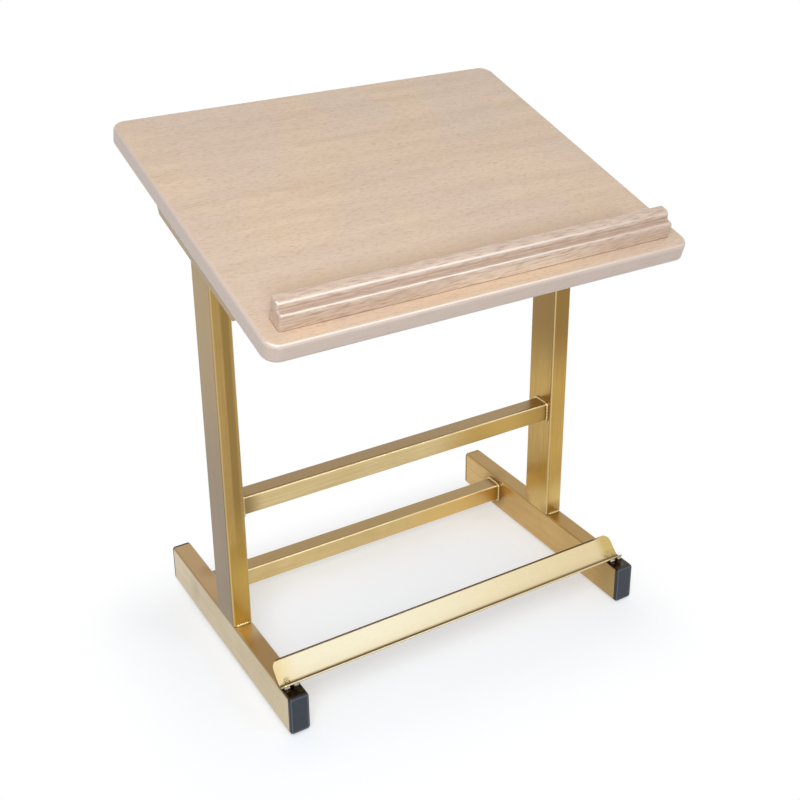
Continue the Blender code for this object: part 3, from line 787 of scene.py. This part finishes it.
def gold_lacquer_on_sheet(add, fold, left, right):
    """Gold lacquer over rolled sheet: faintly flecked, pale as a painted sheen, brown in the fold and on
    top as painted shade.

    It deepens towards the right, where the painted sheen fades, and is golden towards both ends as
    painted shade. It is spattered at the right end and has a small burn at the left end. The flecks are
    drawn a little coarser than they are.
    """
    grain = (SHEET_FLECK_LONG, SHEET_FLECK, SHEET_FLECK)
    flecks = noise(add, grain, {"Detail": 6.0, "Roughness": 0.7})
    spatter = noise(add, SPATTER, {"Detail": 3.0, "Roughness": 0.7})
    up_from = fold.dot(up_flange)
    out_from = fold.dot(up_lip)
    burn_at = fold + up_flange * BURN_UP
    burn_at.x = left + BURN_IN
    right_end = grows(add, RIGHT, *from_place(right, RIGHT_END_SPAN))
    left_end = grows(add, RIGHT, *from_place(left, LEFT_END_SPAN))
    low = grows(add, up_flange, *from_place(up_from, LOW_SPAN))
    top = grows(add, up_flange, *from_place(up_from, TOP_EDGE_SPAN))
    # Painted shade along the top edge, left out at the right end.
    top_edge = add("Math", (top, right_end), operation="SUBTRACT", use_clamp=True)
    specks = (both, (low,), (right_end,), (spatter, *SPECK_RAMP))
    burn = (both, (near, burn_at, *BURN_SPAN), (spatter, *BLOT_RAMP))
    crease = (grows, up_flange, *from_place(up_from, CREASE_SPAN))
    behind_lip = (grows, up_lip, *from_place(out_from, BEHIND_LIP_SPAN))
    layers = (
        (SHEET_DEEP, grows, RIGHT, DEEPER_FROM * left, DEEPER_TO * right),
        (SHEET_FLECK_AND_SHADE, flecks, *FLECK_RAMP),
        (SHEET_GOLD, either, (right_end,), (left_end,)),
        (SHEET_FLECK_AND_SHADE, both, (low,), (LOW_SHARE,)),
        (SHEET_FOLD_SHADE, both, crease, behind_lip),
        (SHEET_BURN_AND_SHADE, either, specks, burn, (top_edge,)),
    )
    return {
        "Base Color": paint(add, SHEET_PALE, layers),
        "Roughness": amount(add, flecks, *SHEET_GLEAM),
        "Normal": add("Bump", {"Strength": 0.04, "Distance": SHEET_RELIEF, "Height": flecks}),
        "Metallic": 1.0,
        "Coat Weight": 0.4,
        "Coat Roughness": 0.25,
    }


strip_low, strip_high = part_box("book_stop_strip")
up_flange = Vector((0, math.sin(STRIP_LEAN), math.cos(STRIP_LEAN)))
up_lip = Vector((0, -math.cos(STRIP_LEAN), math.sin(STRIP_LEAN)))
fold = Vector(((strip_low.x + strip_high.x) / 2, -FOLD_AHEAD, FOLD_HEIGHT))
bpy.ops.mesh.primitive_plane_add(
    size=1, location=fold + up_flange * STRIP_FLANGE / 2, rotation=(STRIP_LEAN, 0, 0)
)
bpy.context.object.scale = (strip_high.x - strip_low.x, STRIP_FLANGE, 1)
strip = open_up("book_stop")


def from_fold(vert, way):
    return (vert.co - fold).dot(way)


pick("EDGE", lambda edge: all(abs(from_fold(vert, up_flange)) < FLAT for vert in edge.verts))
draw_out(up_lip * STRIP_LIP)
round_edges(lambda edge: all((vert.co - fold).yz.length < FLAT for vert in edge.verts), *STRIP_FOLD)
round_corners(lambda vert: from_fold(vert, up_flange) > STRIP_FLANGE - FLAT, *STRIP_FLANGE_CORNER)
round_corners(lambda vert: from_fold(vert, up_lip) > STRIP_LIP - FLAT, *STRIP_LIP_CORNER)
take_up(strip)
apply_modifier(strip, "SOLIDIFY", thickness=STRIP_THICK, offset=1.0)
sharp = {"limit_method": "ANGLE", "angle_limit": math.radians(60)}
apply_modifier(strip, "BEVEL", width=STRIP_BURR, segments=2, **sharp)
sharpen(strip, STRIP_SMOOTH)
ends = (strip_low.x, strip_high.x)
sheet_gold = new_finish("gold_lacquer_on_sheet", gold_lacquer_on_sheet, fold, *ends)
hand_over(strip, sheet_gold, "book_stop_strip")


# Tacks of the strip
# Two short tacks of weld on each foot, in the wedge under the strip's lip.
# They were made after the frame was lacquered, so they are bare steel with brown heat colour.

TACK_THICK = 2.1 * MM
TACK_STEEL = "#b9b6b0"
TACK_SCORCH = "#5b4a38"
TACK_BLOTCH = 2.2 * MM
TACK_RELIEF = 0.2 * MM
OXIDE_RAMP = (0.48, 0.7)
TACK_GLEAM = (0.3, 0.7, 0.22, 0.5)


def bare_weld_steel(add):
    """Bare weld metal: silvery and lumpy, with a brown oxide film in patches."""
    blotches = noise(add, TACK_BLOTCH, {"Detail": 5.0, "Roughness": 0.65})
    return {
        "Base Color": paint(add, TACK_STEEL, [(TACK_SCORCH, blotches, *OXIDE_RAMP)]),
        "Roughness": amount(add, blotches, *TACK_GLEAM),
        "Normal": add("Bump", {"Strength": 0.6, "Distance": TACK_RELIEF, "Height": blotches}),
        "Metallic": 1.0,
    }


weld_steel = new_finish("bare_weld_steel", bare_weld_steel)
for side in ("left", "right"):
    for where in ("inner", "outer"):
        node = f"{side}_strip_{where}_tack"
        tack_low, tack_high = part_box(node)
        tack_y = (tack_low.y + tack_high.y) / 2
        tack_z = tack_low.z + TACK_THICK / 2
        start, stop = [(end, tack_y, tack_z) for end in (tack_low.x, tack_high.x)]
        tack = line_bead(f"tack_{side}_{where}", start, stop, TACK_THICK)
        hand_over(tack, weld_steel, node)


# Board brackets
# Two lengths of 25 x 25 x 3 mm steel angle, one along the top of each upright: a flat leg under the
# board and a leg that hangs down outside the tube, its ends mitred at 45 degrees.

BRACKET_LENGTH = 207 * MM
BRACKET_LEG = 25 * MM
BRACKET_THICK = 3 * MM
BRACKET_MIDDLE = 168.8 * MM
BRACKET_OUTER = 203.3 * MM
BRACKET_EDGE = (0.6 * MM, 3)
BRACKET_EDGE_ANGLE = 0.5
# The brackets are darker than the frame as painted shade under the board.
BRACKET_TONES = ("#8d764c", "#a0875a")
BRACKET_EDGE_TONE = "#c9b27c"
BRACKET_EDGE_SHARE = 0.2
FIT = 0.3 * MM
BOARD_FOOT = Vector((0, -164.62 * MM, 390 * MM))


def lay_on_slope(piece):
    """Tilts a piece that was modelled flat, with its front edge at y = 0, to the board's slope."""
    take_up(piece)
    piece.rotation_euler.x = SLOPE
    piece.location = BOARD_FOOT
    bpy.ops.object.transform_apply()
    return piece


leg_inside = BRACKET_OUTER - BRACKET_THICK
right_bracket = start_block(
    "angle_bracket_right",
    (BRACKET_OUTER - BRACKET_LEG, BRACKET_MIDDLE - BRACKET_LENGTH / 2, -FIT - BRACKET_THICK),
    (BRACKET_OUTER, BRACKET_MIDDLE + BRACKET_LENGTH / 2, -FIT),
)
bpy.ops.mesh.select_all(action="SELECT")
bpy.ops.mesh.bisect(plane_co=RIGHT * leg_inside, plane_no=RIGHT)
pick("FACE", lambda face: face.normal.z < -SQUARE and face.calc_center_median().x > leg_inside)
hang = BRACKET_LEG - BRACKET_THICK
draw_out(-UP * hang)
mitred = (1, 1 - 2 * hang / BRACKET_LENGTH, 1)
bpy.ops.transform.resize(value=mitred, center_override=BACK * BRACKET_MIDDLE)
round_edges(
    lambda edge: len(edge.link_faces) == 2 and edge.calc_face_angle() > BRACKET_EDGE_ANGLE,
    *BRACKET_EDGE,
)
left_bracket = another(right_bracket, "angle_bracket_left", mirror=True)
bracket_layers = [(BRACKET_EDGE_TONE, rounded_edge, BRACKET_EDGE_SHARE)]
name = "gold_lacquer_on_brackets"
bracket_gold = new_finish(name, gold_lacquer, BACK, BRACKET_TONES, bracket_layers)
for side, bracket in (("left", left_bracket), ("right", right_bracket)):
    sharpen(bracket)
    hand_over(lay_on_slope(bracket), bracket_gold, f"{side}_board_bracket")

for side in ("left", "right"):
    seam_low, seam_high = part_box(f"{side}_bracket_weld")
    seam_x = seam_low.x + BEAD_OUT if side == "right" else seam_high.x - BEAD_OUT
    seam_end = OFF_BOARD * BEAD_OUT + UPHILL * BEAD_THICK
    start = Vector((seam_x, seam_low.y, seam_low.z)) + seam_end
    stop = Vector((seam_x, seam_high.y, seam_high.z)) - seam_end
    seam = line_bead(f"weld_bracket_{side}", start, stop)
    hand_over(seam, bracket_gold, f"{side}_bracket_weld")


# Reading board
# One panel 430 x 350 x 18 mm, veneered with beech whose grain runs across the reader, with rounded
# corners and rounded-over edges. The top is limed and lacquered satin, the edges filled and washed
# with the same pinkish white. Three screws for the ledge are sunk in its underside.

BOARD_WIDTH = 430 * MM
BOARD_DEPTH = 350 * MM
BOARD_THICK = 18 * MM
BOARD_CORNER = (14 * MM, 12)
BOARD_TOP_EDGE = (4 * MM, 7)
BOARD_UNDER_EDGE = (3 * MM, 6)
LEDGE_SCREW_PITCH = 150 * MM
LEDGE_SCREW_BACK = 29.1 * MM
SINK_SIDES = 40
SINK_WIDE = 8.6 * MM
SINK_NARROW = 4.6 * MM
SINK_DEEP = 2.7 * MM
VENEER_LIGHT = "#e8cdb0"
VENEER_MID = "#dcbfa2"
VENEER_FLECK = "#b08a66"
VENEER_ROSY = "#dac4b3"
VENEER_LIMED = "#ead9c8"
EDGE_WASH = "#dccabe"
EDGE_STREAK = "#c2a593"
# Painted highlight: a near-white line along the front roundings of the board and the ledge, fainter to
# the right.
NOSE_HIGHLIGHT = "#f8eee5"
NOSE_GLEAM = 0.14
NOSE_RISE = (0.66, 0.93)
NOSE_FADE_IN = 0.14
NOSE_FADE_OUT = 0.08
NOSE_AHEAD = (-0.15, -0.3)
NOSE_ENDS = (0, 190 * MM, 0.3, 1.0)
# Painted shadow: a brown band on the board just behind the ledge, fading out towards its ends.
LEDGE_SHADOW = "#c4a582"
BEHIND_SPAN = (90 * MM, 50 * MM, 0.55)
UNDER_LEDGE_SPAN = (34.9 * MM, 35 * MM)
BEHIND_END_SPAN = (198 * MM, 168.3 * MM)
FACE_TURN = (0.8, 0.98, 1.0, 0.0, "SMOOTHSTEP")
BAND_SIZE = (260 * MM, 16 * MM, 16 * MM)
RAY_SIZE = (5 * MM, 0.8 * MM, 0.8 * MM)
PORE_SIZE = (30 * MM, 1.4 * MM, 1.4 * MM)
CLOUD_SIZE = 110 * MM
RAY_DEEP = 0.1 * MM
BAND_RAMP = (0.35, 0.68)
RAY_RAMP = (0.52, 0.72, 0.0, 0.45)
PORE_RAMP = (0.52, 0.75, 0.0, 0.5)
ROSY_RAMP = (0.4, 0.6, 0.0, 0.5)
VENEER_GLEAM = (0.3, 0.7, 0.36, 0.5)


def flat_on_slope(add):
    """Object coordinates turned so that X runs across the board, Y up its slope and Z off its face."""
    spot = add("TexCoord", (), "Object")
    turn = {"Vector": spot, "Location": BOARD_FOOT, "Rotation": (SLOPE, 0, 0)}
    return add("Mapping", turn, vector_type="TEXTURE")


def nose_highlight(add, low, high):
    """A mask that is a narrow line along roundings that look ahead and up: a painted highlight.

    It lies where the surface rises between those two amounts, and is fainter on the right.
    """
    rise = (faces, OFF_BOARD, low, low + NOSE_FADE_IN)
    fall = (faces, OFF_BOARD, high, high - NOSE_FADE_OUT)
    return both(add, rise, fall, (faces, UPHILL, *NOSE_AHEAD), (grows, RIGHT, *NOSE_ENDS))


def limed_beech_veneer(add):
    """Limed beech under satin lacquer: broad soft bands, short brown flecks, white left in the pores.

    The flecks are really about 0.3 mm wide and are drawn coarser so that they show. A brown band behind
    the ledge is a painted shadow, and a pale line along the front nose is a painted highlight.
    """
    flat = flat_on_slope(add)
    bands = noise(add, BAND_SIZE, {"Detail": 4.0, "Distortion": 0.4}, flat)
    rays = noise(add, RAY_SIZE, {"Detail": 2.0}, flat)
    pores = noise(add, PORE_SIZE, {"Detail": 3.0}, flat)
    clouds = noise(add, CLOUD_SIZE, {"Detail": 2.0}, flat)
    lime = amount(add, pores, *PORE_RAMP)
    rosy = add("MapRange", (clouds, *ROSY_RAMP), interpolation_type="SMOOTHSTEP")
    front = BOARD_FOOT.dot(UPHILL)
    behind = (grows, UPHILL, *from_place(front, BEHIND_SPAN))
    past_ledge = (grows, UPHILL, *from_place(front, UNDER_LEDGE_SPAN))
    ends = [(grows, way, *BEHIND_END_SPAN) for way in (RIGHT, -RIGHT)]
    growth = (
        (VENEER_MID, bands, *BAND_RAMP),
        (VENEER_ROSY, rosy),
        (VENEER_LIMED, lime),
        (VENEER_FLECK, rays, *RAY_RAMP),
        (LEDGE_SHADOW, both, behind, past_ledge, *ends),
    )
    wood = paint(add, VENEER_LIGHT, growth)
    nose = nose_highlight(add, *NOSE_RISE)
    panel = (
        (EDGE_STREAK, lime),
        (wood, faces, OFF_BOARD, *FACE_TURN),
        (wood, faces, -OFF_BOARD, *FACE_TURN),
        (NOSE_HIGHLIGHT, nose),
    )
    satin = amount(add, rays, *VENEER_GLEAM)
    return {
        "Base Color": paint(add, EDGE_WASH, panel),
        "Roughness": amount(add, nose, 0.0, 1.0, satin, NOSE_GLEAM),
        "Normal": add("Bump", {"Strength": 0.15, "Distance": RAY_DEEP, "Height": rays}),
        "IOR": 1.5,
        "Coat Weight": 0.4,
        "Coat Roughness": 0.28,
    }


def cut_out(piece, cutter):
    """Takes the cutter's shape out of the piece, and the cutter away."""
    take_up(piece)
    apply_modifier(piece, "BOOLEAN", operation="DIFFERENCE", object=cutter)
    bpy.data.objects.remove(cutter, do_unlink=True)


board = start_block("board_panel", (-BOARD_WIDTH / 2, 0, 0), (BOARD_WIDTH / 2, BOARD_DEPTH, BOARD_THICK))
round_edges(lambda edge: runs_along(edge, UP), *BOARD_CORNER)
round_edges(lambda edge: all(vert.co.z > BOARD_THICK - FLAT for vert in edge.verts), *BOARD_TOP_EDGE)
round_edges(lambda edge: all(vert.co.z < FLAT for vert in edge.verts), *BOARD_UNDER_EDGE)
bpy.ops.object.mode_set(mode="OBJECT")
for place in (-LEDGE_SCREW_PITCH, 0, LEDGE_SCREW_PITCH):
    bpy.ops.mesh.primitive_cone_add(
        vertices=SINK_SIDES,
        radius1=SINK_WIDE / 2,
        radius2=SINK_NARROW / 2,
        depth=SINK_DEEP,
        location=(place, LEDGE_SCREW_BACK, SINK_DEEP / 2 - FLAT),
    )
    cut_out(board, bpy.context.object)
sharpen(board)
veneer = new_finish("limed_beech_veneer", limed_beech_veneer)
hand_over(lay_on_slope(board), veneer, "reading_board")


# Book ledge
# A solid beech moulding that stops the book from sliding off, a little shorter than the board.
# Its front is moulded in one step: a rounded nose, a small cove, and a second nose above it.
# It is limed like the board, takes the colour unevenly, and is screwed on from below.

LEDGE_LENGTH = 398 * MM
LEDGE_DEPTH = 20 * MM
LEDGE_HEIGHT = 23.2 * MM
LEDGE_SETBACK = 15.3 * MM
LEDGE_STEP_HEIGHT = 15.5 * MM
LEDGE_STEP_DEPTH = 7.6 * MM
LEDGE_TOP_NOSE = (5.8 * MM, 8)
LEDGE_STEP_NOSE = (3.5 * MM, 7)
LEDGE_COVE = (1.5 * MM, 5)
LEDGE_BACK_EDGE = (2.6 * MM, 4)
LEDGE_END_EDGE = (2.3 * MM, 4)
BEECH_LIGHT = "#dec8b5"
BEECH_MID = "#cfb39e"
BEECH_VEIN = "#aa8874"
BEECH_LIMED = "#eadbd0"
# Painted shade: darker in the hollow over the step.
HOLLOW_SHADE = "#a68b79"
# Paler in the middle of the ledge's lower front.
BEECH_PALE_MIDDLE = "#f6e3cf"
# Painted shadow: a dark line along the ledge's foot, for the gap under it.
GAP_SHADOW = "#86674f"
GAP_SHADOW_SPAN = (0.7 * MM, 0, 1.0, 0.0, "LINEAR")
TOP_NOSE_RISE = (0.46, 0.78)
TOP_NOSE_SPAN = (1.99 * MM, 2.0 * MM)
PALE_MIDDLE_AT = 30 * MM
PALE_MIDDLE_SPAN = (140 * MM, 20 * MM)
PALE_MIDDLE_SHARE = 0.75
PALE_MIDDLE_UP_SPAN = (-3 * MM, -5 * MM, 1.0, 0.0, "LINEAR")
HOLLOW_FOOT_SPAN = (-0.25 * MM, -0.05 * MM, 1.0, 0.0, "LINEAR")
HOLLOW_TOP_SPAN = (3.0 * MM, 1.2 * MM, 1.0, 0.0, "LINEAR")
HOLLOW_BACK_SPAN = (0.51 * MM, 0.5 * MM)
HOLLOW_SHARE = 0.5
END_GRAIN_TURN = (0.6, 0.95, 0.3, 1.0)
VEIN_SIZE = (120 * MM, 1.2 * MM, 1.2 * MM)
VEIN_SLANT = math.radians(4)
VEIN_DEEP = 0.1 * MM
VEIN_RAMP = (0.53, 0.66, 0.0, 0.55)
VEIN_BAND_RAMP = (0.36, 0.6)
BEECH_LIME_RAMP = (0.55, 0.75, 0.0, 0.4)
BEECH_GLEAM = (0.3, 0.7, 0.34, 0.5)


def limed_beech_moulding(add, foot, step_top, step_back):
    """Limed solid beech under satin lacquer: pink-brown veins that slant along it, pale between them.

    The hollow over the step is darker as painted shade, and the middle of the lower front is paler. A
    dark line along the foot is a painted shadow of the gap under it, and a pale line along each nose is
    a painted highlight.
    """
    flat = flat_on_slope(add)
    slant = add("Mapping", {"Vector": flat, "Rotation": (0, VEIN_SLANT, VEIN_SLANT)})
    veins = noise(add, VEIN_SIZE, {"Detail": 2.0, "Roughness": 0.6, "Distortion": 0.3}, slant)
    rays = noise(add, RAY_SIZE, {"Detail": 2.0}, flat)
    foot_at, top_at = [BOARD_FOOT.dot(OFF_BOARD) + height for height in (foot, step_top)]
    back_at = BOARD_FOOT.dot(UPHILL) + step_back
    end_grain = [(faces, way, *END_GRAIN_TURN) for way in (RIGHT, -RIGHT)]
    pale_middle = (
        (grows, RIGHT, *from_place(PALE_MIDDLE_AT, PALE_MIDDLE_SPAN), PALE_MIDDLE_SHARE),
        (grows, -RIGHT, *from_place(-PALE_MIDDLE_AT, PALE_MIDDLE_SPAN)),
        (grows, OFF_BOARD, *from_place(top_at, PALE_MIDDLE_UP_SPAN)),
    )
    above_step = (grows, OFF_BOARD, *from_place(top_at, HOLLOW_FOOT_SPAN))
    under_nose = (grows, OFF_BOARD, *from_place(top_at, HOLLOW_TOP_SPAN))
    before_nose = (grows, UPHILL, *from_place(back_at, HOLLOW_BACK_SPAN))
    hollow = both(add, above_step, under_nose, before_nose)
    over = grows(add, OFF_BOARD, *from_place(top_at, TOP_NOSE_SPAN))
    noses = [nose_highlight(add, *rise) for rise in (NOSE_RISE, TOP_NOSE_RISE)]
    line = amount(add, over, 0.0, 1.0, *noses)
    highlight_line = add("Math", (line, hollow), operation="SUBTRACT", use_clamp=True)
    layers = (
        (BEECH_MID, veins, *VEIN_BAND_RAMP),
        (BEECH_LIMED, rays, *BEECH_LIME_RAMP),
        (BEECH_PALE_MIDDLE, both, *pale_middle),
        (BEECH_VEIN, both, (veins, *VEIN_RAMP), *end_grain),
        (GAP_SHADOW, grows, OFF_BOARD, *from_place(foot_at, GAP_SHADOW_SPAN)),
        (NOSE_HIGHLIGHT, highlight_line),
        (HOLLOW_SHADE, both, (hollow,), (HOLLOW_SHARE,)),
    )
    satin = amount(add, veins, *BEECH_GLEAM)
    return {
        "Base Color": paint(add, BEECH_LIGHT, layers),
        "Roughness": amount(add, highlight_line, 0.0, 1.0, satin, NOSE_GLEAM),
        "Normal": add("Bump", {"Strength": 0.2, "Distance": VEIN_DEEP, "Height": veins}),
        "IOR": 1.5,
        "Coat Weight": 0.6,
        "Coat Roughness": 0.2,
    }


def middle(edge):
    return (edge.verts[0].co + edge.verts[1].co) / 2


def along_ledge(y, z):
    """The test for the long edge at that place in the moulding's section."""
    return lambda edge: runs_along(edge, RIGHT) and (middle(edge).yz - Vector((y, z))).length < FLAT


ledge_foot = BOARD_THICK + FIT
step_top = ledge_foot + LEDGE_STEP_HEIGHT
ledge_top = ledge_foot + LEDGE_HEIGHT
step_back = LEDGE_SETBACK + LEDGE_STEP_DEPTH
ledge_back = LEDGE_SETBACK + LEDGE_DEPTH
ledge = start_block(
    "ledge_moulding",
    (-LEDGE_LENGTH / 2, LEDGE_SETBACK, ledge_foot),
    (LEDGE_LENGTH / 2, ledge_back, step_top),
)
bpy.ops.mesh.select_all(action="SELECT")
bpy.ops.mesh.bisect(plane_co=BACK * step_back, plane_no=BACK)
pick("FACE", lambda face: face.normal.z > SQUARE and face.calc_center_median().y > step_back)
draw_out(UP * (ledge_top - step_top))
round_edges(along_ledge(LEDGE_SETBACK, step_top), *LEDGE_STEP_NOSE)
round_edges(along_ledge(step_back, step_top), *LEDGE_COVE)
round_edges(along_ledge(step_back, ledge_top), *LEDGE_TOP_NOSE)
round_edges(along_ledge(ledge_back, ledge_top), *LEDGE_BACK_EDGE)
bpy.ops.mesh.select_all(action="SELECT")
bpy.ops.mesh.dissolve_limited(angle_limit=math.radians(0.1))
round_edges(
    lambda edge: sum(abs(face.normal.x) > SQUARE for face in edge.link_faces) == 1
    and middle(edge).z > ledge_foot + FLAT,
    *LEDGE_END_EDGE,
)
sharpen(ledge)
step = (ledge_foot, step_top, step_back)
beech = new_finish("limed_beech_moulding", limed_beech_moulding, *step)
hand_over(lay_on_slope(ledge), beech, "book_ledge")


# Screws
# Four round-head screws hold the brackets to the board, and three countersunk ones come up through
# the board into the ledge. They are cold-headed steel with a cross recess, bright zinc plated.

SCREW_HEAD = 8 * MM
SCREW_HEAD_HEIGHT = 2.4 * MM
SCREW_DOME = (2.16 * MM, 6)
SCREW_SHANK = 4 * MM
SCREW_POINT = 4 * MM
SCREW_TIP = 0.2 * MM
SCREW_SIDES = 32
BOARD_SCREW_BITE = 12 * MM
BOARD_SCREW_ACROSS = 189.3 * MM
BOARD_SCREW_SPREAD = 160 * MM
LEDGE_SCREW_BITE = 12 * MM
RECESS_LONG = 4.4 * MM
RECESS_WIDE = 1.1 * MM
RECESS_DEEP = 1.3 * MM
RECESS_TAPER = 0.6
ZINC = "#b8bcc0"
ZINC_TARNISH = "#97948a"
ZINC_SPANGLE = 1.6 * MM
TARNISH_RAMP = (0.45, 0.7)
ZINC_GLEAM = (0.3, 0.7, 0.24, 0.42)


def bright_zinc_plate(add):
    """Bright zinc over steel: bluish silver, a faint spangle and duller patches."""
    spangle = noise(add, ZINC_SPANGLE, {"Detail": 4.0, "Roughness": 0.6})
    return {
        "Base Color": paint(add, ZINC, [(ZINC_TARNISH, spangle, *TARNISH_RAMP)]),
        "Roughness": amount(add, spangle, *ZINC_GLEAM),
        "Metallic": 1.0,
    }


def draw_shank(steps):
    """Draws the top face up, one step for each length and width that it narrows to."""
    pick_facing(UP)
    width = SCREW_HEAD
    for length, narrow in steps:
        draw_out(UP * length)
        share = narrow / width
        bpy.ops.transform.resize(value=(share, share, 1), center_override=(0, 0, 0))
        width = narrow


def cut_recess(screw, floor):
    """A cross recess cut up into the head from the height of its lowest point."""
    bpy.ops.object.mode_set(mode="OBJECT")
    for long, wide in ((RECESS_LONG, RECESS_WIDE), (RECESS_WIDE, RECESS_LONG)):
        low = Vector((-long / 2, -wide / 2, floor - RECESS_DEEP))
        cutter = start_block("recess", low, UP * 2 * floor - low)
        pick_facing(UP)
        bpy.ops.transform.resize(value=(RECESS_TAPER, RECESS_TAPER, 1), center_override=(0, 0, 0))
        cut_out(screw, cutter)
    sharpen(screw)


def screw_in(model, name, node, across, along):
    screw = another(model, name, (across, along, 0))
    hand_over(lay_on_slope(screw), zinc, node)


zinc = new_finish("bright_zinc_plate", bright_zinc_plate)
seat = -(BRACKET_THICK + 2 * FIT)
head_low = seat - SCREW_HEAD_HEIGHT
point = (SCREW_POINT, SCREW_TIP)
round_head = start_round("round_head_screw", SCREW_SIDES, SCREW_HEAD, UP * head_low, UP * seat)
round_edges(lambda edge: all(vert.co.z < head_low + FLAT for vert in edge.verts), *SCREW_DOME)
draw_shank(((FLAT, SCREW_SHANK), (BOARD_SCREW_BITE - seat - SCREW_POINT, SCREW_SHANK), point))
cut_recess(round_head, head_low)
flat_head = start_round("countersunk_screw", SCREW_SIDES, SCREW_HEAD, UP * FIT, UP * 2 * FIT)
through_board = BOARD_THICK + LEDGE_SCREW_BITE - SCREW_HEAD_HEIGHT - SCREW_POINT
draw_shank(((SCREW_HEAD_HEIGHT - FIT, SCREW_SHANK), (through_board, SCREW_SHANK), point))
cut_recess(flat_head, FIT)
for side, across in (("left", -BOARD_SCREW_ACROSS), ("right", BOARD_SCREW_ACROSS)):
    for end, apart in (("front", -BOARD_SCREW_SPREAD / 2), ("rear", BOARD_SCREW_SPREAD / 2)):
        along = BRACKET_MIDDLE + apart
        screw_in(round_head, f"board_screw_{side}_{end}", f"{side}_{end}_board_screw", across, along)
for where, across in (("left", -LEDGE_SCREW_PITCH), ("middle", 0), ("right", LEDGE_SCREW_PITCH)):
    screw_in(flat_head, f"ledge_screw_{where}", f"{where}_ledge_screw", across, LEDGE_SCREW_BACK)
for model in (round_head, flat_head):
    bpy.data.objects.remove(model, do_unlink=True)


# Studio
# A white sweep with soft light: a narrow lamp above the reader's right shoulder and a broad one above
# the left. The backdrop glows white, and the paper under the object keeps its shadow. From below
# the paper is clear, so that the underside shows.

FLOOR_SIZE = 8.0
FLOOR_WHITE = "#e8edf4"
FLOOR_BLACK = "#000000"
FLOOR_LIFT = 0.32
PAPER_MIDDLE = (-35 * MM, -40 * MM, 0)
PAPER_HALF = (190 * MM, 115 * MM, 0)
PAPER_FADE = 110 * MM
AMBIENT = 0.42
WHITE = (1, 1, 1, 1)
SHOWN_TO = ("Is Camera Ray", "Is Glossy Ray", "Is Transmission Ray")
# Each lamp's place and size in metres and its power in watts, and the place that they are aimed at.
LAMPS = {
    "narrow_softbox": ((0.66, -1.25, 1.37), (0.5, 0.1), 1.6),
    "broad_softbox": ((-0.62, -1.05, 1.15), (0.9, 1.2), 13.0),
}
AIM = Vector((0, 0, 0.28))
# The camera's angles, and its place across, up and back along its own directions.
AZIMUTH = math.radians(-29.95)
ELEVATION = math.radians(23.09)
ROLL = math.radians(-0.89)
CAMERA_PLACE = (-21.22 * MM, 310.98 * MM, 1339.86 * MM)
LENS = 56.095
FILM_WIDTH = 36
SHIFT_ACROSS = 0.025
SHIFT_UP = -0.125


def seen_directly(add):
    """1 for rays that show the background as it is: to the camera, in a reflection or through glass."""
    return either(add, *[(add("LightPath", (), ray),) for ray in SHOWN_TO])


def white_paper(add):
    """Matt white paper that keeps the shadow near the object, and glows as the backdrop further out."""
    spot = add("TexCoord", (), "Object")
    past = past_box(add, spot, PAPER_MIDDLE, PAPER_HALF)
    beyond = add("VectorMath", (past, (0, 0, 0)), operation="MAXIMUM")
    away = add("VectorMath", (beyond,), operation="LENGTH")
    sweep = add("MapRange", (away, 0.0, PAPER_FADE), interpolation_type="SMOOTHSTEP")
    seen = seen_directly(add)
    lift = both(add, (seen,), (FLOOR_LIFT,))
    level = amount(add, seen, 0.0, 1.0, AMBIENT, 1.0)
    return {
        "Base Color": paint(add, FLOOR_WHITE, [(FLOOR_BLACK, sweep)]),
        "Emission Strength": amount(add, sweep, 0.0, 1.0, lift, level),
        "Emission Color": WHITE,
        "Roughness": 0.9,
        "Specular IOR Level": 0.0,
    }


bpy.ops.mesh.primitive_plane_add(size=FLOOR_SIZE)
floor = bpy.context.object
floor.name = "studio_floor"
paper = new_finish("white_paper", white_paper)
tree = paper.node_tree
add = partial(add_node, tree)
below = add("NewGeometry", (), "Backfacing")
clear = add("BsdfTransparent")
lit = tree.nodes["Principled BSDF"].outputs[0]
surface = add("MixShader", (below, lit, clear))
plug_in(tree.nodes["Material Output"], {"Surface": surface})
floor.data.materials.append(paper)

world = bpy.data.worlds.new("white_studio")
world.use_nodes = True
bpy.context.scene.world = world
tree = world.node_tree
add = partial(add_node, tree)
strength = amount(add, seen_directly(add), 0.0, 1.0, AMBIENT, 1.0)
plug_in(tree.nodes["Background"], {"Color": WHITE, "Strength": strength})

for name, (place, size, watts) in LAMPS.items():
    lamp = bpy.data.lights.new(name, "AREA")
    lamp.shape = "RECTANGLE"
    lamp.size, lamp.size_y = size
    lamp.energy = watts
    holder = bpy.data.objects.new(name, lamp)
    holder.location = place
    holder.rotation_euler = (AIM - Vector(place)).to_track_quat("-Z", "Y").to_euler()
    bpy.context.scene.collection.objects.link(holder)

camera_data = bpy.data.cameras.new("photo_camera")
camera_data.lens = LENS
camera_data.sensor_width = FILM_WIDTH
camera_data.shift_x = SHIFT_ACROSS
camera_data.shift_y = SHIFT_UP
camera = bpy.data.objects.new("photo_camera", camera_data)
stand = Matrix.Translation(CAMERA_PLACE)
for angle, axis in ((ROLL, "Z"), (math.pi / 2 - ELEVATION, "X"), (AZIMUTH, "Z")):
    stand = Matrix.Rotation(angle, 4, axis) @ stand
camera.matrix_world = stand
bpy.context.scene.collection.objects.link(camera)
bpy.context.scene.camera = camera
bpy.context.scene.view_settings.view_transform = "Standard"
